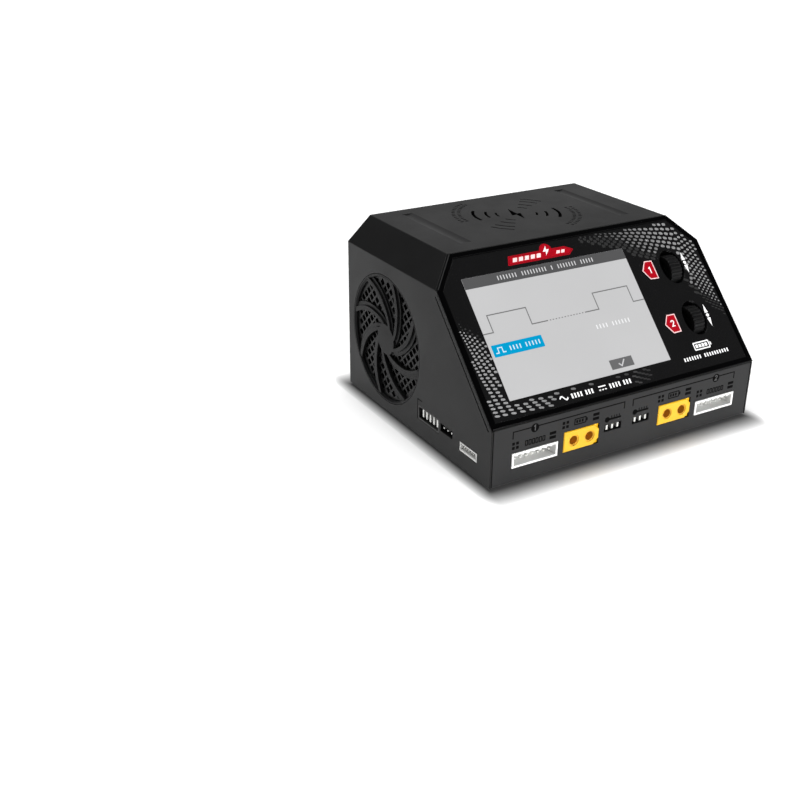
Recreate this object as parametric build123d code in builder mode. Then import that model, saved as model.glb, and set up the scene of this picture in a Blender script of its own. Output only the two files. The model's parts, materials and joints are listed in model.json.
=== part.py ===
from build123d import *
import os
from math import atan2, cos, sin, hypot, degrees, pi, sqrt, radians

os.makedirs("parts", exist_ok=True)

# ---------------------------------------------------------------- driving dimensions (mm)
W = 123.0              # casing width
D = 104.3              # casing depth
H = 71.0               # casing height above its underside
FOOT = 1.0             # rubber feet stand proud of the underside by this
T = 2.4                # wall thickness
HF = 22.56             # height of the upright connector panel
YT = 46.3              # depth at which the slope meets the top
CX, CZ = 10.1, 9.3     # long side chamfers, across and down
GAP = 0.15             # clearance between fixed casing pieces
YF = -52.0             # front face of the connector panel
ZB = FOOT              # underside of the casing
YB = YF + D            # rear edge of the casing

SEAM = -0.3            # casing edge under the fascia rim, along the slope normal
RIM = 0.7              # top of the fascia rim
SHEET = 0.35           # top of the printed overlay sheet
RIM_W = 2.2            # width of the rim

FAN_Y, FAN_Z = 74.06, 30.07    # fan axis, from the front face and the underside
GR = 26.0              # grille radius
GRD = 3.0              # grille depth
FAN = 50.0             # fan frame side
FAN_T = 15.0           # fan frame depth
ARMS = 8               # swirl arms in a grille

WHEELS = ((43.3, 44.9), (43.1, 22.6))   # thumb wheels: across, up the slope
WR = 6.5               # wheel radius
WW = 5.2               # wheel width
WN = -4.0              # wheel axis below the slope
TRAVEL = 0.6           # press travel

LCD_X0, LCD_X1, LCD_S0, LCD_S1 = -50.3, 23.6, 8.8, 56.4   # visible display

BAL_X, BAL_Z = (-42.6, 43.1), 8.8       # balance sockets
BAT_X, BAT_Z = (-21.9, 22.5), 10.2      # battery sockets
TMP_X, TMP_Z = (-7.4, 5.9), 11.2        # thermometer headers
AUX_Y, AUX_Z = 41.1, 9.8                # left wall: 5-pin socket
SRV_Y, SRV_Z = 28.5, 10.2               # left wall: servo header
SEN_Y, SEN_Z = 14.0, 8.3                # left wall: sensor socket
AC_X, AC_Z = 24.0, 41.0                 # rear: mains inlet
DC_X, DC_Z = -14.0, 14.0                # rear: DC input

BRD = 5.6              # top of the charger board above the underside
BRD_T = 1.6
PSU = 27.6             # top of the mains supply board
PIN = 0.64             # square pin

# ---------------------------------------------------------------- working planes
AL = atan2(H - HF, YT)                       # slope above the horizontal
CA, SA = cos(AL), sin(AL)
SL = hypot(H - HF, YT)                       # length of the slope
FRONT = Plane(origin=(0, YF, ZB), x_dir=(1, 0, 0), z_dir=(0, -1, 0))
REAR = Plane(origin=(0, YB, ZB), x_dir=(-1, 0, 0), z_dir=(0, 1, 0))
LEFT = Plane(origin=(-W / 2, YF, ZB), x_dir=(0, -1, 0), z_dir=(-1, 0, 0))
RIGHT = Plane(origin=(W / 2, YF, ZB), x_dir=(0, 1, 0), z_dir=(1, 0, 0))
UNDER = Plane(origin=(0, YF, ZB), x_dir=(1, 0, 0), z_dir=(0, 0, 1))
TOP = UNDER.offset(H)
SLOPE = Plane(origin=(0, YF, ZB + HF), x_dir=(1, 0, 0), z_dir=(0, -SA, CA))


def section(inset, low):
    """Corner points of the casing section seen from the front, moved in by inset."""
    b = atan2(CZ, CX)
    t1 = inset * (1 - sin(b)) / cos(b)
    z1 = H - CZ + t1 * sin(b) - inset * cos(b)
    t2 = (CZ - inset + inset * cos(b)) / sin(b)
    x2 = -W / 2 + t2 * cos(b) + inset * sin(b)
    return [(-W / 2 + inset, low), (-W / 2 + inset, z1), (x2, H - inset), (-x2, H - inset),
            (W / 2 - inset, z1), (W / 2 - inset, low)]


def slope_outline(inset, low):
    """Where the casing surfaces, moved in by inset, meet the slope: points on SLOPE."""
    return [(x, (z - HF) / SA) for x, z in section(inset, HF + low * SA)]


def slope_to_side(s, n):
    """Depth from the front face and height for a place s up the slope and n above it."""
    return s * CA - n * SA, HF + s * SA + n * CA


def finish(part, label):
    part.label = label
    export_step(part, "parts/" + label + ".step")


# ---------------------------------------------------------------- upper casing
VENT = (0.7, 77.2)     # centre of the top vent
vent_arcs = []         # arc and slot width
for vr, wide, left, right in ((8.3, 0.85, (146, 32), (-42, 22)), (12.4, 1.0, (142, 34), (-43, 28)),
                              (17.5, 1.25, (140, 42), (-44, 41))):
    vent_arcs.append((CenterArc(VENT, vr, *left), wide))
    vent_arcs.append((CenterArc(VENT, vr, *right), wide))
faint_arcs = []
for vr in (9.2, 13.6, 18.4, 22.0):
    faint_arcs.append(CenterArc(VENT, vr, 28, 22))
    faint_arcs.append(CenterArc(VENT, vr, 209, 23))
ticks = [(vr, a) for vr in (23.2, 25.4) for a in
         [118 + 5 * i for i in range(13)] + [-66 + 5 * i for i in range(13)]]

with BuildPart() as upper_casing:
    with BuildSketch(FRONT):
        with BuildLine():
            Polyline(section(0, 0), close=True)
        make_face()
    extrude(amount=-D)
    fillet(upper_casing.edges().filter_by(Axis.Y).filter_by(lambda e: e.center().Z > ZB + 1), 0.7)
    with BuildSketch(FRONT.offset(1)):
        with BuildLine():
            Polyline(section(T, -1), close=True)
        make_face()
    extrude(amount=-(D + 2), mode=Mode.SUBTRACT)
    with BuildSketch(SLOPE.offset(SEAM)):
        Rectangle(W + 20, 200)
    extrude(amount=120, mode=Mode.SUBTRACT)
    # thin lips that lap over the ends of the connector panel
    with BuildSketch(FRONT.offset(1)):
        Rectangle(W - 1.2, 2 * (HF + 5))
    extrude(amount=-(1 + T + GAP), mode=Mode.SUBTRACT)
    # round openings for the fan grilles
    for wall, sgn in ((LEFT, -1), (RIGHT, 1)):
        with BuildSketch(wall.offset(1)):
            with Locations((sgn * FAN_Y, FAN_Z)):
                Circle(GR + 0.1)
        extrude(amount=-(T + 3), mode=Mode.SUBTRACT)
        # bosses that the fan frame stands on
        with BuildSketch(wall.offset(-T)):
            with Locations((sgn * FAN_Y, FAN_Z)):
                with GridLocations(40, 40, 2, 2):
                    Circle(2.6)
                Circle(GR + 0.6, mode=Mode.SUBTRACT)
        extrude(amount=-(3.2 - T))
        with BuildSketch(wall.offset(-3.3)):
            with Locations((sgn * FAN_Y, FAN_Z)):
                with GridLocations(40, 40, 2, 2):
                    Circle(1.25)
        extrude(amount=1.7, mode=Mode.SUBTRACT)
        # shallow groove behind the fascia edge
        g = [slope_to_side(0.6, -1.8), slope_to_side(52.8, -1.8),
             slope_to_side(52.8, -2.35), slope_to_side(0.6, -2.35)]
        with BuildSketch(wall.offset(1)):
            with BuildLine():
                Polyline([(sgn * y, z) for y, z in g], close=True)
            make_face()
        extrude(amount=-1.45, mode=Mode.SUBTRACT)
    # openings for the left sockets
    with BuildSketch(LEFT.offset(1)):
        with Locations((-AUX_Y, AUX_Z)):
            Rectangle(15.1, 5.95)
        with Locations((-SRV_Y, SRV_Z)):
            Rectangle(8.2, 3.2)
        with Locations((-SEN_Y, SEN_Z)):
            Rectangle(11.2, 3.7)
    extrude(amount=-(T + 2), mode=Mode.SUBTRACT)
    # top vent
    with BuildSketch(TOP.offset(1)):
        for arc, wide in vent_arcs:
            SlotArc(arc, wide)
        with BuildLine():
            Polyline((1.6, 84.6), (-2.2, 75.8), (-0.1, 75.9), (-0.5, 69.6),
                     (2.6, 77.0), (0.9, 77.3), close=True)
        make_face()
    extrude(amount=-(T + 2), mode=Mode.SUBTRACT)
    with BuildSketch(TOP):
        for arc in faint_arcs:
            SlotArc(arc, 0.8)
    extrude(amount=-0.35, mode=Mode.SUBTRACT)
    with BuildSketch(TOP):
        for vr, a in ticks:
            with Locations((VENT[0] + vr * cos(radians(a)), VENT[1] + vr * sin(radians(a)))):
                Rectangle(1.4, 0.8, rotation=a)
    extrude(amount=-0.9, mode=Mode.SUBTRACT)
    # two long shallow troughs in the top
    with BuildSketch(FRONT.offset(-54.8)):
        with Locations((-37.9, H + 8 - 0.38), (37.9, H + 8 - 0.38)):
            Circle(8)
    extrude(amount=-43.5, mode=Mode.SUBTRACT)
    # screw bosses at the front and lugs at the rear, joined to the side walls
    with BuildSketch(UNDER.offset(T + GAP)):
        for sx in (-1, 1):
            with Locations((sx * 56.4, 5.4)):
                Circle(2.5)
            with Locations((sx * 58.2, 5.4)):
                Rectangle(2.6, 3.0)
    extrude(amount=14.0)
    with BuildSketch(UNDER.offset(T + GAP)):
        for sx in (-1, 1):
            with Locations((sx * 55.5, 96.0)):
                Rectangle(8.0, 7.0)
    extrude(amount=2.2)
    with BuildSketch(UNDER):
        for sx in (-1, 1):
            with Locations((sx * 56.4, 5.4), (sx * 55.0, 96.0)):
                Circle(1.0)
    extrude(amount=9.0, mode=Mode.SUBTRACT)
    # ribs that locate the rear panel
    with BuildSketch(REAR.offset(-(1.2 + 2.0 + 0.05))):
        for sx in (-1, 1):
            with Locations((sx * 48, H - T - 1.0)):
                Rectangle(5, 2.2)
    extrude(amount=-1.4)
finish(upper_casing.part, "upper_casing")

# ---------------------------------------------------------------- base tray with connector panel
PX = W / 2 - 0.6 - 0.35
with BuildPart() as base_tray:
    with BuildSketch(UNDER):
        with Locations((0, D / 2)):
            Rectangle(W - 2 * T - 2 * GAP, D)
    extrude(amount=T)
    with BuildSketch(FRONT):
        with BuildLine():
            Polyline((-PX, 0), (-PX, HF), (PX, HF), (PX, 0), close=True)
        make_face()
    extrude(amount=-T)
    with BuildSketch(SLOPE.offset(SEAM)):
        Rectangle(W + 20, 100)
    extrude(amount=60, mode=Mode.SUBTRACT)
    fillet(base_tray.edges().filter_by(Axis.X).sort_by(lambda e: e.center().Y + e.center().Z)[0], 0.5)
    # socket openings
    with BuildSketch(FRONT.offset(1)):
        for x in BAL_X:
            with Locations((x, BAL_Z)):
                Rectangle(20.1, 5.95)
        for x in BAT_X:
            with Locations((x, BAT_Z)):
                Rectangle(16.2, 8.3)
        for x in TMP_X:
            with Locations((x, TMP_Z)):
                Rectangle(8.0, 3.0)
    extrude(amount=-(T + 2), mode=Mode.SUBTRACT)
    # floor vents
    with BuildSketch(UNDER.offset(-1)):
        with Locations((0, 60)):
            with GridLocations(8.0, 30.0, 7, 2):
                SlotOverall(22, 2.6, rotation=90)
    extrude(amount=T + 2, mode=Mode.SUBTRACT)
    # seats for the feet
    with BuildSketch(UNDER.offset(-1)):
        for sx in (-1, 1):
            with Locations((sx * 48.0, 12.0), (sx * 48.0, 90.0)):
                Circle(5.05)
    extrude(amount=1 + 0.8, mode=Mode.SUBTRACT)
    # board posts
    with BuildSketch(UNDER.offset(T)):
        for sx in (-1, 1):
            with Locations((sx * 50.0, 22.5), (sx * 38.0, 45.5), (sx * 38.0, 94.5)):
                Circle(2.6)
    extrude(amount=BRD - BRD_T - T)
    with BuildSketch(UNDER.offset(1.0)):
        for sx in (-1, 1):
            with Locations((sx * 50.0, 22.5), (sx * 38.0, 45.5), (sx * 38.0, 94.5)):
                Circle(1.0)
    extrude(amount=4.0, mode=Mode.SUBTRACT)
    # countersunk holes for the casing screws
    with Locations(Plane(origin=(0, YF, ZB), x_dir=(1, 0, 0), z_dir=(0, 0, -1))):
        for sx in (-1, 1):
            with Locations((sx * 56.4, -5.4), (sx * 55.0, -96.0)):
                CounterSinkHole(radius=1.35, counter_sink_radius=2.5, depth=T)
finish(base_tray.part, "base_tray")

# ---------------------------------------------------------------- rear panel
with BuildPart() as rear_panel:
    with BuildSketch(REAR.offset(-1.2)):
        with BuildLine():
            Polyline(section(T + GAP, T + GAP), close=True)
        make_face()
        with Locations((-AC_X, AC_Z)):
            RectangleRounded(27.6, 20.4, 2.5, mode=Mode.SUBTRACT)
        with Locations((-DC_X, DC_Z)):
            Rectangle(16.4, 8.5, mode=Mode.SUBTRACT)
        with Locations((22.0, 40.0)):
            with GridLocations(5.0, 0, 8, 1):
                SlotOverall(24, 2.4, rotation=90, mode=Mode.SUBTRACT)
        with Locations((-24.0, 16.0)):
            with GridLocations(5.0, 0, 8, 1):
                SlotOverall(12, 2.4, rotation=90, mode=Mode.SUBTRACT)
    extrude(amount=-2.0)
finish(rear_panel.part, "rear_panel")

# ---------------------------------------------------------------- feet and casing screws
with BuildPart() as rubber_feet:
    with BuildSketch(Plane.XY):
        for sx in (-1, 1):
            with Locations((sx * 48.0, YF + 12.0), (sx * 48.0, YF + 90.0)):
                Circle(5.0)
    extrude(amount=FOOT + 0.8)
    chamfer(rubber_feet.faces().sort_by(Axis.Z)[:4].edges(), 0.4)
finish(rubber_feet.part, "rubber_feet")

with BuildPart() as casing_screws:
    for sx in (-1, 1):
        for sy in (5.4, 96.0):
            px = 56.4 if sy < 50 else 55.0
            with BuildSketch(Plane(origin=(sx * px, YF + sy, 0), x_dir=(1, 0, 0), z_dir=(0, -1, 0))):
                with BuildLine():
                    tip = ZB + (8.6 if sy < 50 else T + 2.2)
                    Polyline((0, ZB + 0.15), (2.3, ZB + 0.15), (1.0, ZB + 1.45), (1.0, tip - 0.6),
                             (0.4, tip), (0, tip), close=True)
                make_face()
            revolve(axis=Axis((sx * px, YF + sy, 0), (0, 0, 1)))
            with BuildSketch(Plane(origin=(sx * px, YF + sy, ZB + 0.15), x_dir=(1, 0, 0), z_dir=(0, 0, 1))):
                Rectangle(2.6, 0.5)
                Rectangle(0.5, 2.6)
            extrude(amount=0.7, mode=Mode.SUBTRACT)
finish(casing_screws.part, "casing_screws")

# ---------------------------------------------------------------- fascia bezel
LCD_X, LCD_S = (LCD_X0 + LCD_X1) / 2, (LCD_S0 + LCD_S1) / 2
LCD_W, LCD_H = LCD_X1 - LCD_X0, LCD_S1 - LCD_S0


def wheel_plane(wx, ws, off):
    """Plane across a wheel axis, its X up the slope and its Y out of the fascia."""
    return Plane(origin=SLOPE.from_local_coords(Vector(wx + off, ws, WN)),
                 x_dir=(0, CA, SA), z_dir=(1, 0, 0))


with BuildPart() as fascia_bezel:
    with BuildSketch(SLOPE.offset(SEAM)):
        with BuildLine():
            Polyline(slope_outline(0, 0), close=True)
        make_face()
    extrude(amount=RIM - SEAM)
    fillet(fascia_bezel.faces().sort_by(Axis((0, 0, 0), (0, -SA, CA)))[-1].edges(), 0.75)
    # recess for the printed sheet
    with BuildSketch(SLOPE):
        with BuildLine():
            Polyline(slope_outline(0, 0), close=True)
        make_face()
        offset(amount=-RIM_W, kind=Kind.INTERSECTION, mode=Mode.REPLACE)
    extrude(amount=2.0, mode=Mode.SUBTRACT)
    chamfer(fascia_bezel.edges().filter_by(
        lambda e: abs(SLOPE.to_local_coords(e.center()).Z - RIM) < 0.01
        and abs(SLOPE.to_local_coords(e.center()).X) < 61.0), 0.2)
    # plate that sits inside the casing
    with BuildSketch(SLOPE.offset(-2.4)):
        with BuildLine():
            Polyline(slope_outline(T + GAP, 3.8), close=True)
        make_face()
    extrude(amount=2.4)
    # display window, and the pocket that holds the display
    with BuildSketch(SLOPE.offset(1)):
        with Locations((LCD_X, LCD_S)):
            Rectangle(LCD_W + 0.1, LCD_H + 0.1)
    extrude(amount=-5, mode=Mode.SUBTRACT)
    with BuildSketch(SLOPE.offset(-0.62)):
        with Locations((LCD_X, LCD_S)):
            Rectangle(80.6, 51.6)
    extrude(amount=-5, mode=Mode.SUBTRACT)
    # dished recesses and round-bottomed slots for the thumb wheels
    for wx, ws in WHEELS:
        with BuildSketch(SLOPE.offset(0.5)):
            with Locations((wx, ws)):
                Ellipse(5.45, 7.35)
        with BuildSketch(SLOPE.offset(-1.1)):
            with Locations((wx, ws)):
                Ellipse(4.0, 6.3)
        loft(mode=Mode.SUBTRACT)
        with BuildSketch(wheel_plane(wx, ws, -(WW / 2 + 0.3))):
            Circle(WR + 0.35)
        extrude(amount=WW + 0.6, mode=Mode.SUBTRACT)
finish(fascia_bezel.part, "fascia_bezel")

with BuildPart() as overlay_sheet:
    with BuildSketch(SLOPE):
        with BuildLine():
            Polyline(slope_outline(0, 0), close=True)
        make_face()
        offset(amount=-(RIM_W + 0.08), kind=Kind.INTERSECTION, mode=Mode.REPLACE)
        with Locations((LCD_X, LCD_S)):
            Rectangle(LCD_W + 0.1, LCD_H + 0.1, mode=Mode.SUBTRACT)
        for wx, ws in WHEELS:
            with Locations((wx, ws)):
                Ellipse(5.35, 7.25, mode=Mode.SUBTRACT)
    extrude(amount=SHEET)
finish(overlay_sheet.part, "overlay_sheet")

with BuildPart() as display_window:
    with BuildSketch(SLOPE.offset(-0.58)):
        with Locations((LCD_X, LCD_S)):
            Rectangle(LCD_W, LCD_H)
    extrude(amount=SHEET + 0.58)
finish(display_window.part, "display_window")

# ---------------------------------------------------------------- display behind the fascia
with BuildPart() as display_panel:
    with BuildSketch(SLOPE.offset(-2.25)):
        with Locations((LCD_X, LCD_S)):
            Rectangle(80.0, 51.0)
    extrude(amount=1.61)
finish(display_panel.part, "display_panel")

with BuildPart() as backlight_tray:
    with BuildSketch(SLOPE.offset(-4.3)):
        with Locations((LCD_X, LCD_S)):
            Rectangle(80.0, 51.0)
    extrude(amount=2.0)
    chamfer(backlight_tray.edges().filter_by(Axis((0, 0, 0), (0, -SA, CA))), 1.0)
finish(backlight_tray.part, "backlight_tray")

BN = -15.4             # front of the display board, along the slope normal
with BuildPart() as display_board:
    with BuildSketch(SLOPE.offset(BN)):
        with Locations((1.5, 28.5)):
            RectangleRounded(111, 45, 1.5)
    extrude(amount=-BRD_T)
    with BuildSketch(SLOPE.offset(BN - BRD_T)):
        with Locations((-20, 20)):
            Rectangle(12, 12)
        with Locations((0, 36), (-32, 36)):
            Rectangle(8, 6)
    extrude(amount=-1.0)
finish(display_board.part, "display_board")

with BuildPart() as display_standoffs:
    with BuildSketch(SLOPE.offset(-2.4)):
        with Locations((33.2, 9.5), (54.0, 9.5), (33.2, 48.5), (54.0, 48.5)):
            RegularPolygon(2.2, 6)
    extrude(amount=BN + 2.4)
    with BuildSketch(SLOPE.offset(-4.3)):
        with Locations((-49.0, 10.5), (-49.0, 47.0)):
            RegularPolygon(2.2, 6)
    extrude(amount=BN + 4.3)
finish(display_standoffs.part, "display_standoffs")

with BuildPart() as display_ribbon:
    with BuildSketch(Plane(origin=SLOPE.from_local_coords(Vector(-22.0, 8.4, (-4.35 + BN) / 2)),
                           x_dir=(0, CA, SA), z_dir=(1, 0, 0))):
        Circle((-4.35 - BN) / 2 - 0.02)
        Circle((-4.35 - BN) / 2 - 0.27, mode=Mode.SUBTRACT)
        with Locations((10, 0)):
            Rectangle(20, 20, mode=Mode.SUBTRACT)
    extrude(amount=16.0)
finish(display_ribbon.part, "display_ribbon")

# ---------------------------------------------------------------- thumb wheels
for k, (wx, ws) in enumerate(WHEELS, 1):
    with BuildPart() as thumb_wheel:
        with BuildSketch(wheel_plane(wx, ws, -WW / 2)):
            Circle(WR)
            with PolarLocations(WR + 0.12, 28):
                Circle(0.42, mode=Mode.SUBTRACT)
        extrude(amount=WW)
        for side, d in ((-WW / 2, 1), (WW / 2, -1)):
            with BuildSketch(wheel_plane(wx, ws, side)):
                Circle(WR - 1.5)
                Circle(2.2, mode=Mode.SUBTRACT)
            extrude(amount=d * 0.6, mode=Mode.SUBTRACT)
        with BuildSketch(wheel_plane(wx, ws, -WW)):
            Circle(0.84)
        extrude(amount=2 * WW, mode=Mode.SUBTRACT)
    finish(thumb_wheel.part, "thumb_wheel_%d" % k)

    with BuildPart() as wheel_axle:
        with BuildSketch(wheel_plane(wx, ws, -3.9)):
            Circle(0.8)
        extrude(amount=7.8)
    finish(wheel_axle.part, "wheel_axle_%d" % k)

    with BuildPart() as wheel_yoke:
        with BuildSketch(wheel_plane(wx, ws, -3.9)):
            with Locations((0, (-12.2 - 2.7) / 2 - WN)):
                Rectangle(3.2, 9.5)
        extrude(amount=7.8)
        with BuildSketch(wheel_plane(wx, ws, -2.9)):
            with Locations((0, (-11.0 + 5.0) / 2 - WN)):
                Rectangle(12, 16.0)
        extrude(amount=5.8, mode=Mode.SUBTRACT)
        with BuildSketch(wheel_plane(wx, ws, -5)):
            Circle(0.8)
        extrude(amount=10, mode=Mode.SUBTRACT)
        with BuildSketch(SLOPE.offset(-12.2)):
            with Locations((wx, ws)):
                Circle(0.9)
        extrude(amount=-1.4)
    finish(wheel_yoke.part, "wheel_yoke_%d" % k)

with BuildPart() as encoder_modules:
    for wx, ws in WHEELS:
        with BuildSketch(SLOPE.offset(BN)):
            with Locations((wx, ws)):
                Rectangle(10.8, 6.4)
        extrude(amount=2.4)
        with BuildSketch(SLOPE.offset(BN + 2.4)):
            with Locations((wx - 4.75, ws), (wx + 4.75, ws)):
                Rectangle(1.3, 4.8)
        extrude(amount=6.0)
        with BuildSketch(SLOPE.offset(BN + 0.8)):
            with Locations((wx, ws)):
                Circle(1.05)
        extrude(amount=4, mode=Mode.SUBTRACT)
finish(encoder_modules.part, "encoder_modules")

# ---------------------------------------------------------------- fan grilles and fans
# centre line of a swirl arm: radius, angle back from its outer end, width there
ARM_LINE = [(4.5, -78, 2.8), (7.5, -57, 3.0), (10, -43, 3.2), (13, -31, 3.3), (17, -20, 3.4),
            (21, -10, 3.5), (25.6, 0, 3.6)]
ARM_END = 33.4
MESH = 4.4             # pitch of the diamond mesh
BAR = 0.85             # width of a mesh bar


def arm_sides(start, side0, side1):
    """Points along the two sides of a swirl arm, each given as a share of its width."""
    mid = [(r * cos(radians(start + a)), r * sin(radians(start + a))) for r, a, w in ARM_LINE]
    out = ([], [])
    for i, (x, y) in enumerate(mid):
        x0, y0 = mid[max(i - 1, 0)]
        x1, y1 = mid[min(i + 1, len(mid) - 1)]
        d = hypot(x1 - x0, y1 - y0)
        nx, ny = -(y1 - y0) / d, (x1 - x0) / d
        for k, share in enumerate((side0, side1)):
            out[k].append((x + nx * ARM_W(i) * share, y + ny * ARM_W(i) * share))
    return out


def ARM_W(i):
    return ARM_LINE[i][2]


for side, wall, sgn in (("left", LEFT, -1), ("right", RIGHT, 1)):
    at = (sgn * FAN_Y, FAN_Z)
    # layers of the guard: how far below the wall, how tall, arm sides, hub radius
    with BuildPart() as fan_guard:
        for low, tall, side0, side1, hub in ((1.3, 0.5, -0.5, 0.5, 7.0), (0.85, 0.7, -0.02, 0.5, 6.2)):
            with BuildSketch(wall.offset(-low)):
                with Locations(at):
                    Circle(hub)
                for i in range(ARMS):
                    one, two = arm_sides(ARM_END + i * 360.0 / ARMS, side0, side1)
                    with BuildLine():
                        Spline([(at[0] + x, at[1] + z) for x, z in one])
                        Spline([(at[0] + x, at[1] + z) for x, z in two])
                        Line((at[0] + one[0][0], at[1] + one[0][1]), (at[0] + two[0][0], at[1] + two[0][1]))
                        Line((at[0] + one[-1][0], at[1] + one[-1][1]), (at[0] + two[-1][0], at[1] + two[-1][1]))
                    make_face()
                with Locations(at):
                    Circle(GR - 0.9, mode=Mode.INTERSECT)
            extrude(amount=tall)
        centre = wall.from_local_coords(Vector(at[0], at[1], 0))
        with BuildSketch(Plane(origin=centre, x_dir=wall.x_dir, z_dir=wall.y_dir * -1)):
            with BuildLine():
                Polyline((GR - 1.3, -GRD), (GR, -GRD), (GR, -0.15), (GR - 0.15, 0), (GR - 0.6, 0),
                         (GR - 1.3, -0.6), close=True)
            make_face()
        revolve(axis=Axis(centre, wall.z_dir))
    finish(fan_guard.part, side + "_fan_guard")

    fan_face = wall.offset(-3.2)
    with BuildPart() as fan_impeller:
        with BuildSketch(fan_face.offset(-0.9)):
            with Locations(at):
                Circle(11.5)
        extrude(amount=-9.6)
        with BuildSketch(fan_face.offset(-0.9 - 9.6)):
            with Locations(at):
                Circle(10.0)
        extrude(amount=8.3, mode=Mode.SUBTRACT)
        fillet(fan_impeller.edges().filter_by(GeomType.CIRCLE).sort_by(
            lambda e: -abs(e.center().X))[0], 1.0)
        hub_c = fan_face.from_local_coords(Vector(at[0], at[1], -6.0))
        for i in range(7):
            a = 360.0 / 7 * i
            radial = (wall.x_dir * cos(radians(a)) + wall.y_dir * sin(radians(a))).normalized()
            tang = wall.z_dir.cross(radial)
            chord = (wall.z_dir * cos(radians(52)) + tang * sin(radians(52))).normalized()
            with BuildSketch(Plane(origin=hub_c + radial * 11.0, x_dir=chord, z_dir=radial)):
                RectangleRounded(12.4, 1.2, 0.55)
            extrude(amount=13.5)
        with BuildSketch(fan_face):
            with Locations(at):
                Circle(23.5)
        extrude(amount=-FAN_T, mode=Mode.INTERSECT)
        with BuildSketch(fan_face.offset(-2.6)):
            with Locations(at):
                Circle(1.5)
        extrude(amount=2.4, mode=Mode.SUBTRACT)
        with BuildSketch(fan_face.offset(-2.2)):
            with Locations(at):
                Circle(2.6)
                Circle(1.5, mode=Mode.SUBTRACT)
        extrude(amount=-1.4)
    finish(fan_impeller.part, side + "_fan_impeller")

    with BuildPart() as fan_shaft:
        with BuildSketch(fan_face.offset(-1.8)):
            with Locations(at):
                Circle(1.5)
        extrude(amount=-10.8)
    finish(fan_shaft.part, side + "_fan_shaft")

mesh_discs = []
for wall, sgn in ((LEFT, -1), (RIGHT, 1)):
    at = (sgn * FAN_Y, FAN_Z)
    pts = []
    for i in range(-8, 9):
        for j in range(-14, 15):
            px, pz = MESH * (i + 0.5 * (j % 2)), MESH * 0.5 * j
            if hypot(px, pz) < GR - 1.8:
                pts.append((at[0] + px, at[1] + pz))
    with BuildSketch(wall.offset(-2.3)) as holes:
        with Locations(*pts):
            Rectangle(MESH / sqrt(2) - BAR, MESH / sqrt(2) - BAR, rotation=45)
        with Locations(at):
            Circle(GR - 2.1, mode=Mode.INTERSECT)
    with BuildSketch(wall.offset(-2.3)) as disc:
        with Locations(at):
            Circle(GR - 1.35)
        add(holes.sketch_local, mode=Mode.SUBTRACT)
    mesh_discs.append(disc.sketch)
with BuildPart() as dust_meshes:
    for disc in mesh_discs:
        add(extrude(disc, amount=0.95))
finish(dust_meshes.part, "dust_meshes")

with BuildPart() as fan_frames:
    for wall, sgn in ((LEFT, -1), (RIGHT, 1)):
        at = (sgn * FAN_Y, FAN_Z)
        fan_face = wall.offset(-3.2)
        with BuildSketch(fan_face):
            with Locations(at):
                RectangleRounded(FAN, FAN, 3.5)
                Circle(24.2, mode=Mode.SUBTRACT)
                with GridLocations(40, 40, 2, 2):
                    Circle(2.15, mode=Mode.SUBTRACT)
        extrude(amount=-FAN_T)
        with BuildSketch(fan_face.offset(-FAN_T)):
            with Locations(at):
                Circle(11.5)
                for a in (45, 135, 225, 315):
                    with Locations(Location((18 * cos(radians(a)), 18 * sin(radians(a))), a)):
                        Rectangle(15.0, 2.6)
        extrude(amount=2.4)
        with BuildSketch(fan_face.offset(-FAN_T)):
            with Locations(at):
                Circle(3.2)
        extrude(amount=10.6)
        with BuildSketch(fan_face.offset(-FAN_T + 1.0)):
            with Locations(at):
                Circle(1.55)
        extrude(amount=12, mode=Mode.SUBTRACT)
finish(fan_frames.part, "fan_frames")

with BuildPart() as fan_stators:
    for wall, sgn in ((LEFT, -1), (RIGHT, 1)):
        with BuildSketch(wall.offset(-3.2 - FAN_T + 2.4)):
            with Locations((sgn * FAN_Y, FAN_Z)):
                Circle(8.6)
                with PolarLocations(8.0, 6):
                    Rectangle(5.0, 1.6, mode=Mode.SUBTRACT)
                Circle(3.2, mode=Mode.SUBTRACT)
        extrude(amount=6.4)
finish(fan_stators.part, "fan_stators")

with BuildPart() as fan_screws:
    for wall, sgn in ((LEFT, -1), (RIGHT, 1)):
        with BuildSketch(wall.offset(-3.2 - FAN_T)):
            with Locations((sgn * FAN_Y, FAN_Z)):
                with GridLocations(40, 40, 2, 2):
                    Circle(2.8)
        extrude(amount=-1.8)
        with BuildSketch(wall.offset(-3.2 - FAN_T)):
            with Locations((sgn * FAN_Y, FAN_Z)):
                with GridLocations(40, 40, 2, 2):
                    Circle(1.25)
        extrude(amount=FAN_T + 1.5)
        with BuildSketch(wall.offset(-3.2 - FAN_T - 1.8)):
            with Locations((sgn * FAN_Y, FAN_Z)):
                with GridLocations(40, 40, 2, 2):
                    Rectangle(3.2, 0.6)
                    Rectangle(0.6, 3.2)
        extrude(amount=0.9, mode=Mode.SUBTRACT)
finish(fan_screws.part, "fan_screws")

# ---------------------------------------------------------------- front sockets
def socket_shell(face, x, z, length, height, depth, wall, teeth=0, pitch=2.5):
    """Open box socket flush with a face: outer block, cavity, teeth along the top."""
    with BuildPart() as shell:
        with BuildSketch(face.offset(0.3)):
            with Locations((x, z)):
                Rectangle(length, height)
        extrude(amount=-(depth + 0.3))
        with BuildSketch(face.offset(0.3)):
            with Locations((x, z)):
                Rectangle(length - 2 * wall, height - 2 * wall)
        extrude(amount=-(depth - 1.3), mode=Mode.SUBTRACT)
        if teeth:
            with BuildSketch(face.offset(-0.3)):
                with Locations((x, z + height / 2 - wall)):
                    with GridLocations(pitch, 1, teeth, 1):
                        Circle(0.8)
            extrude(amount=-(depth - 1.6))
    return shell.part


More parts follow.
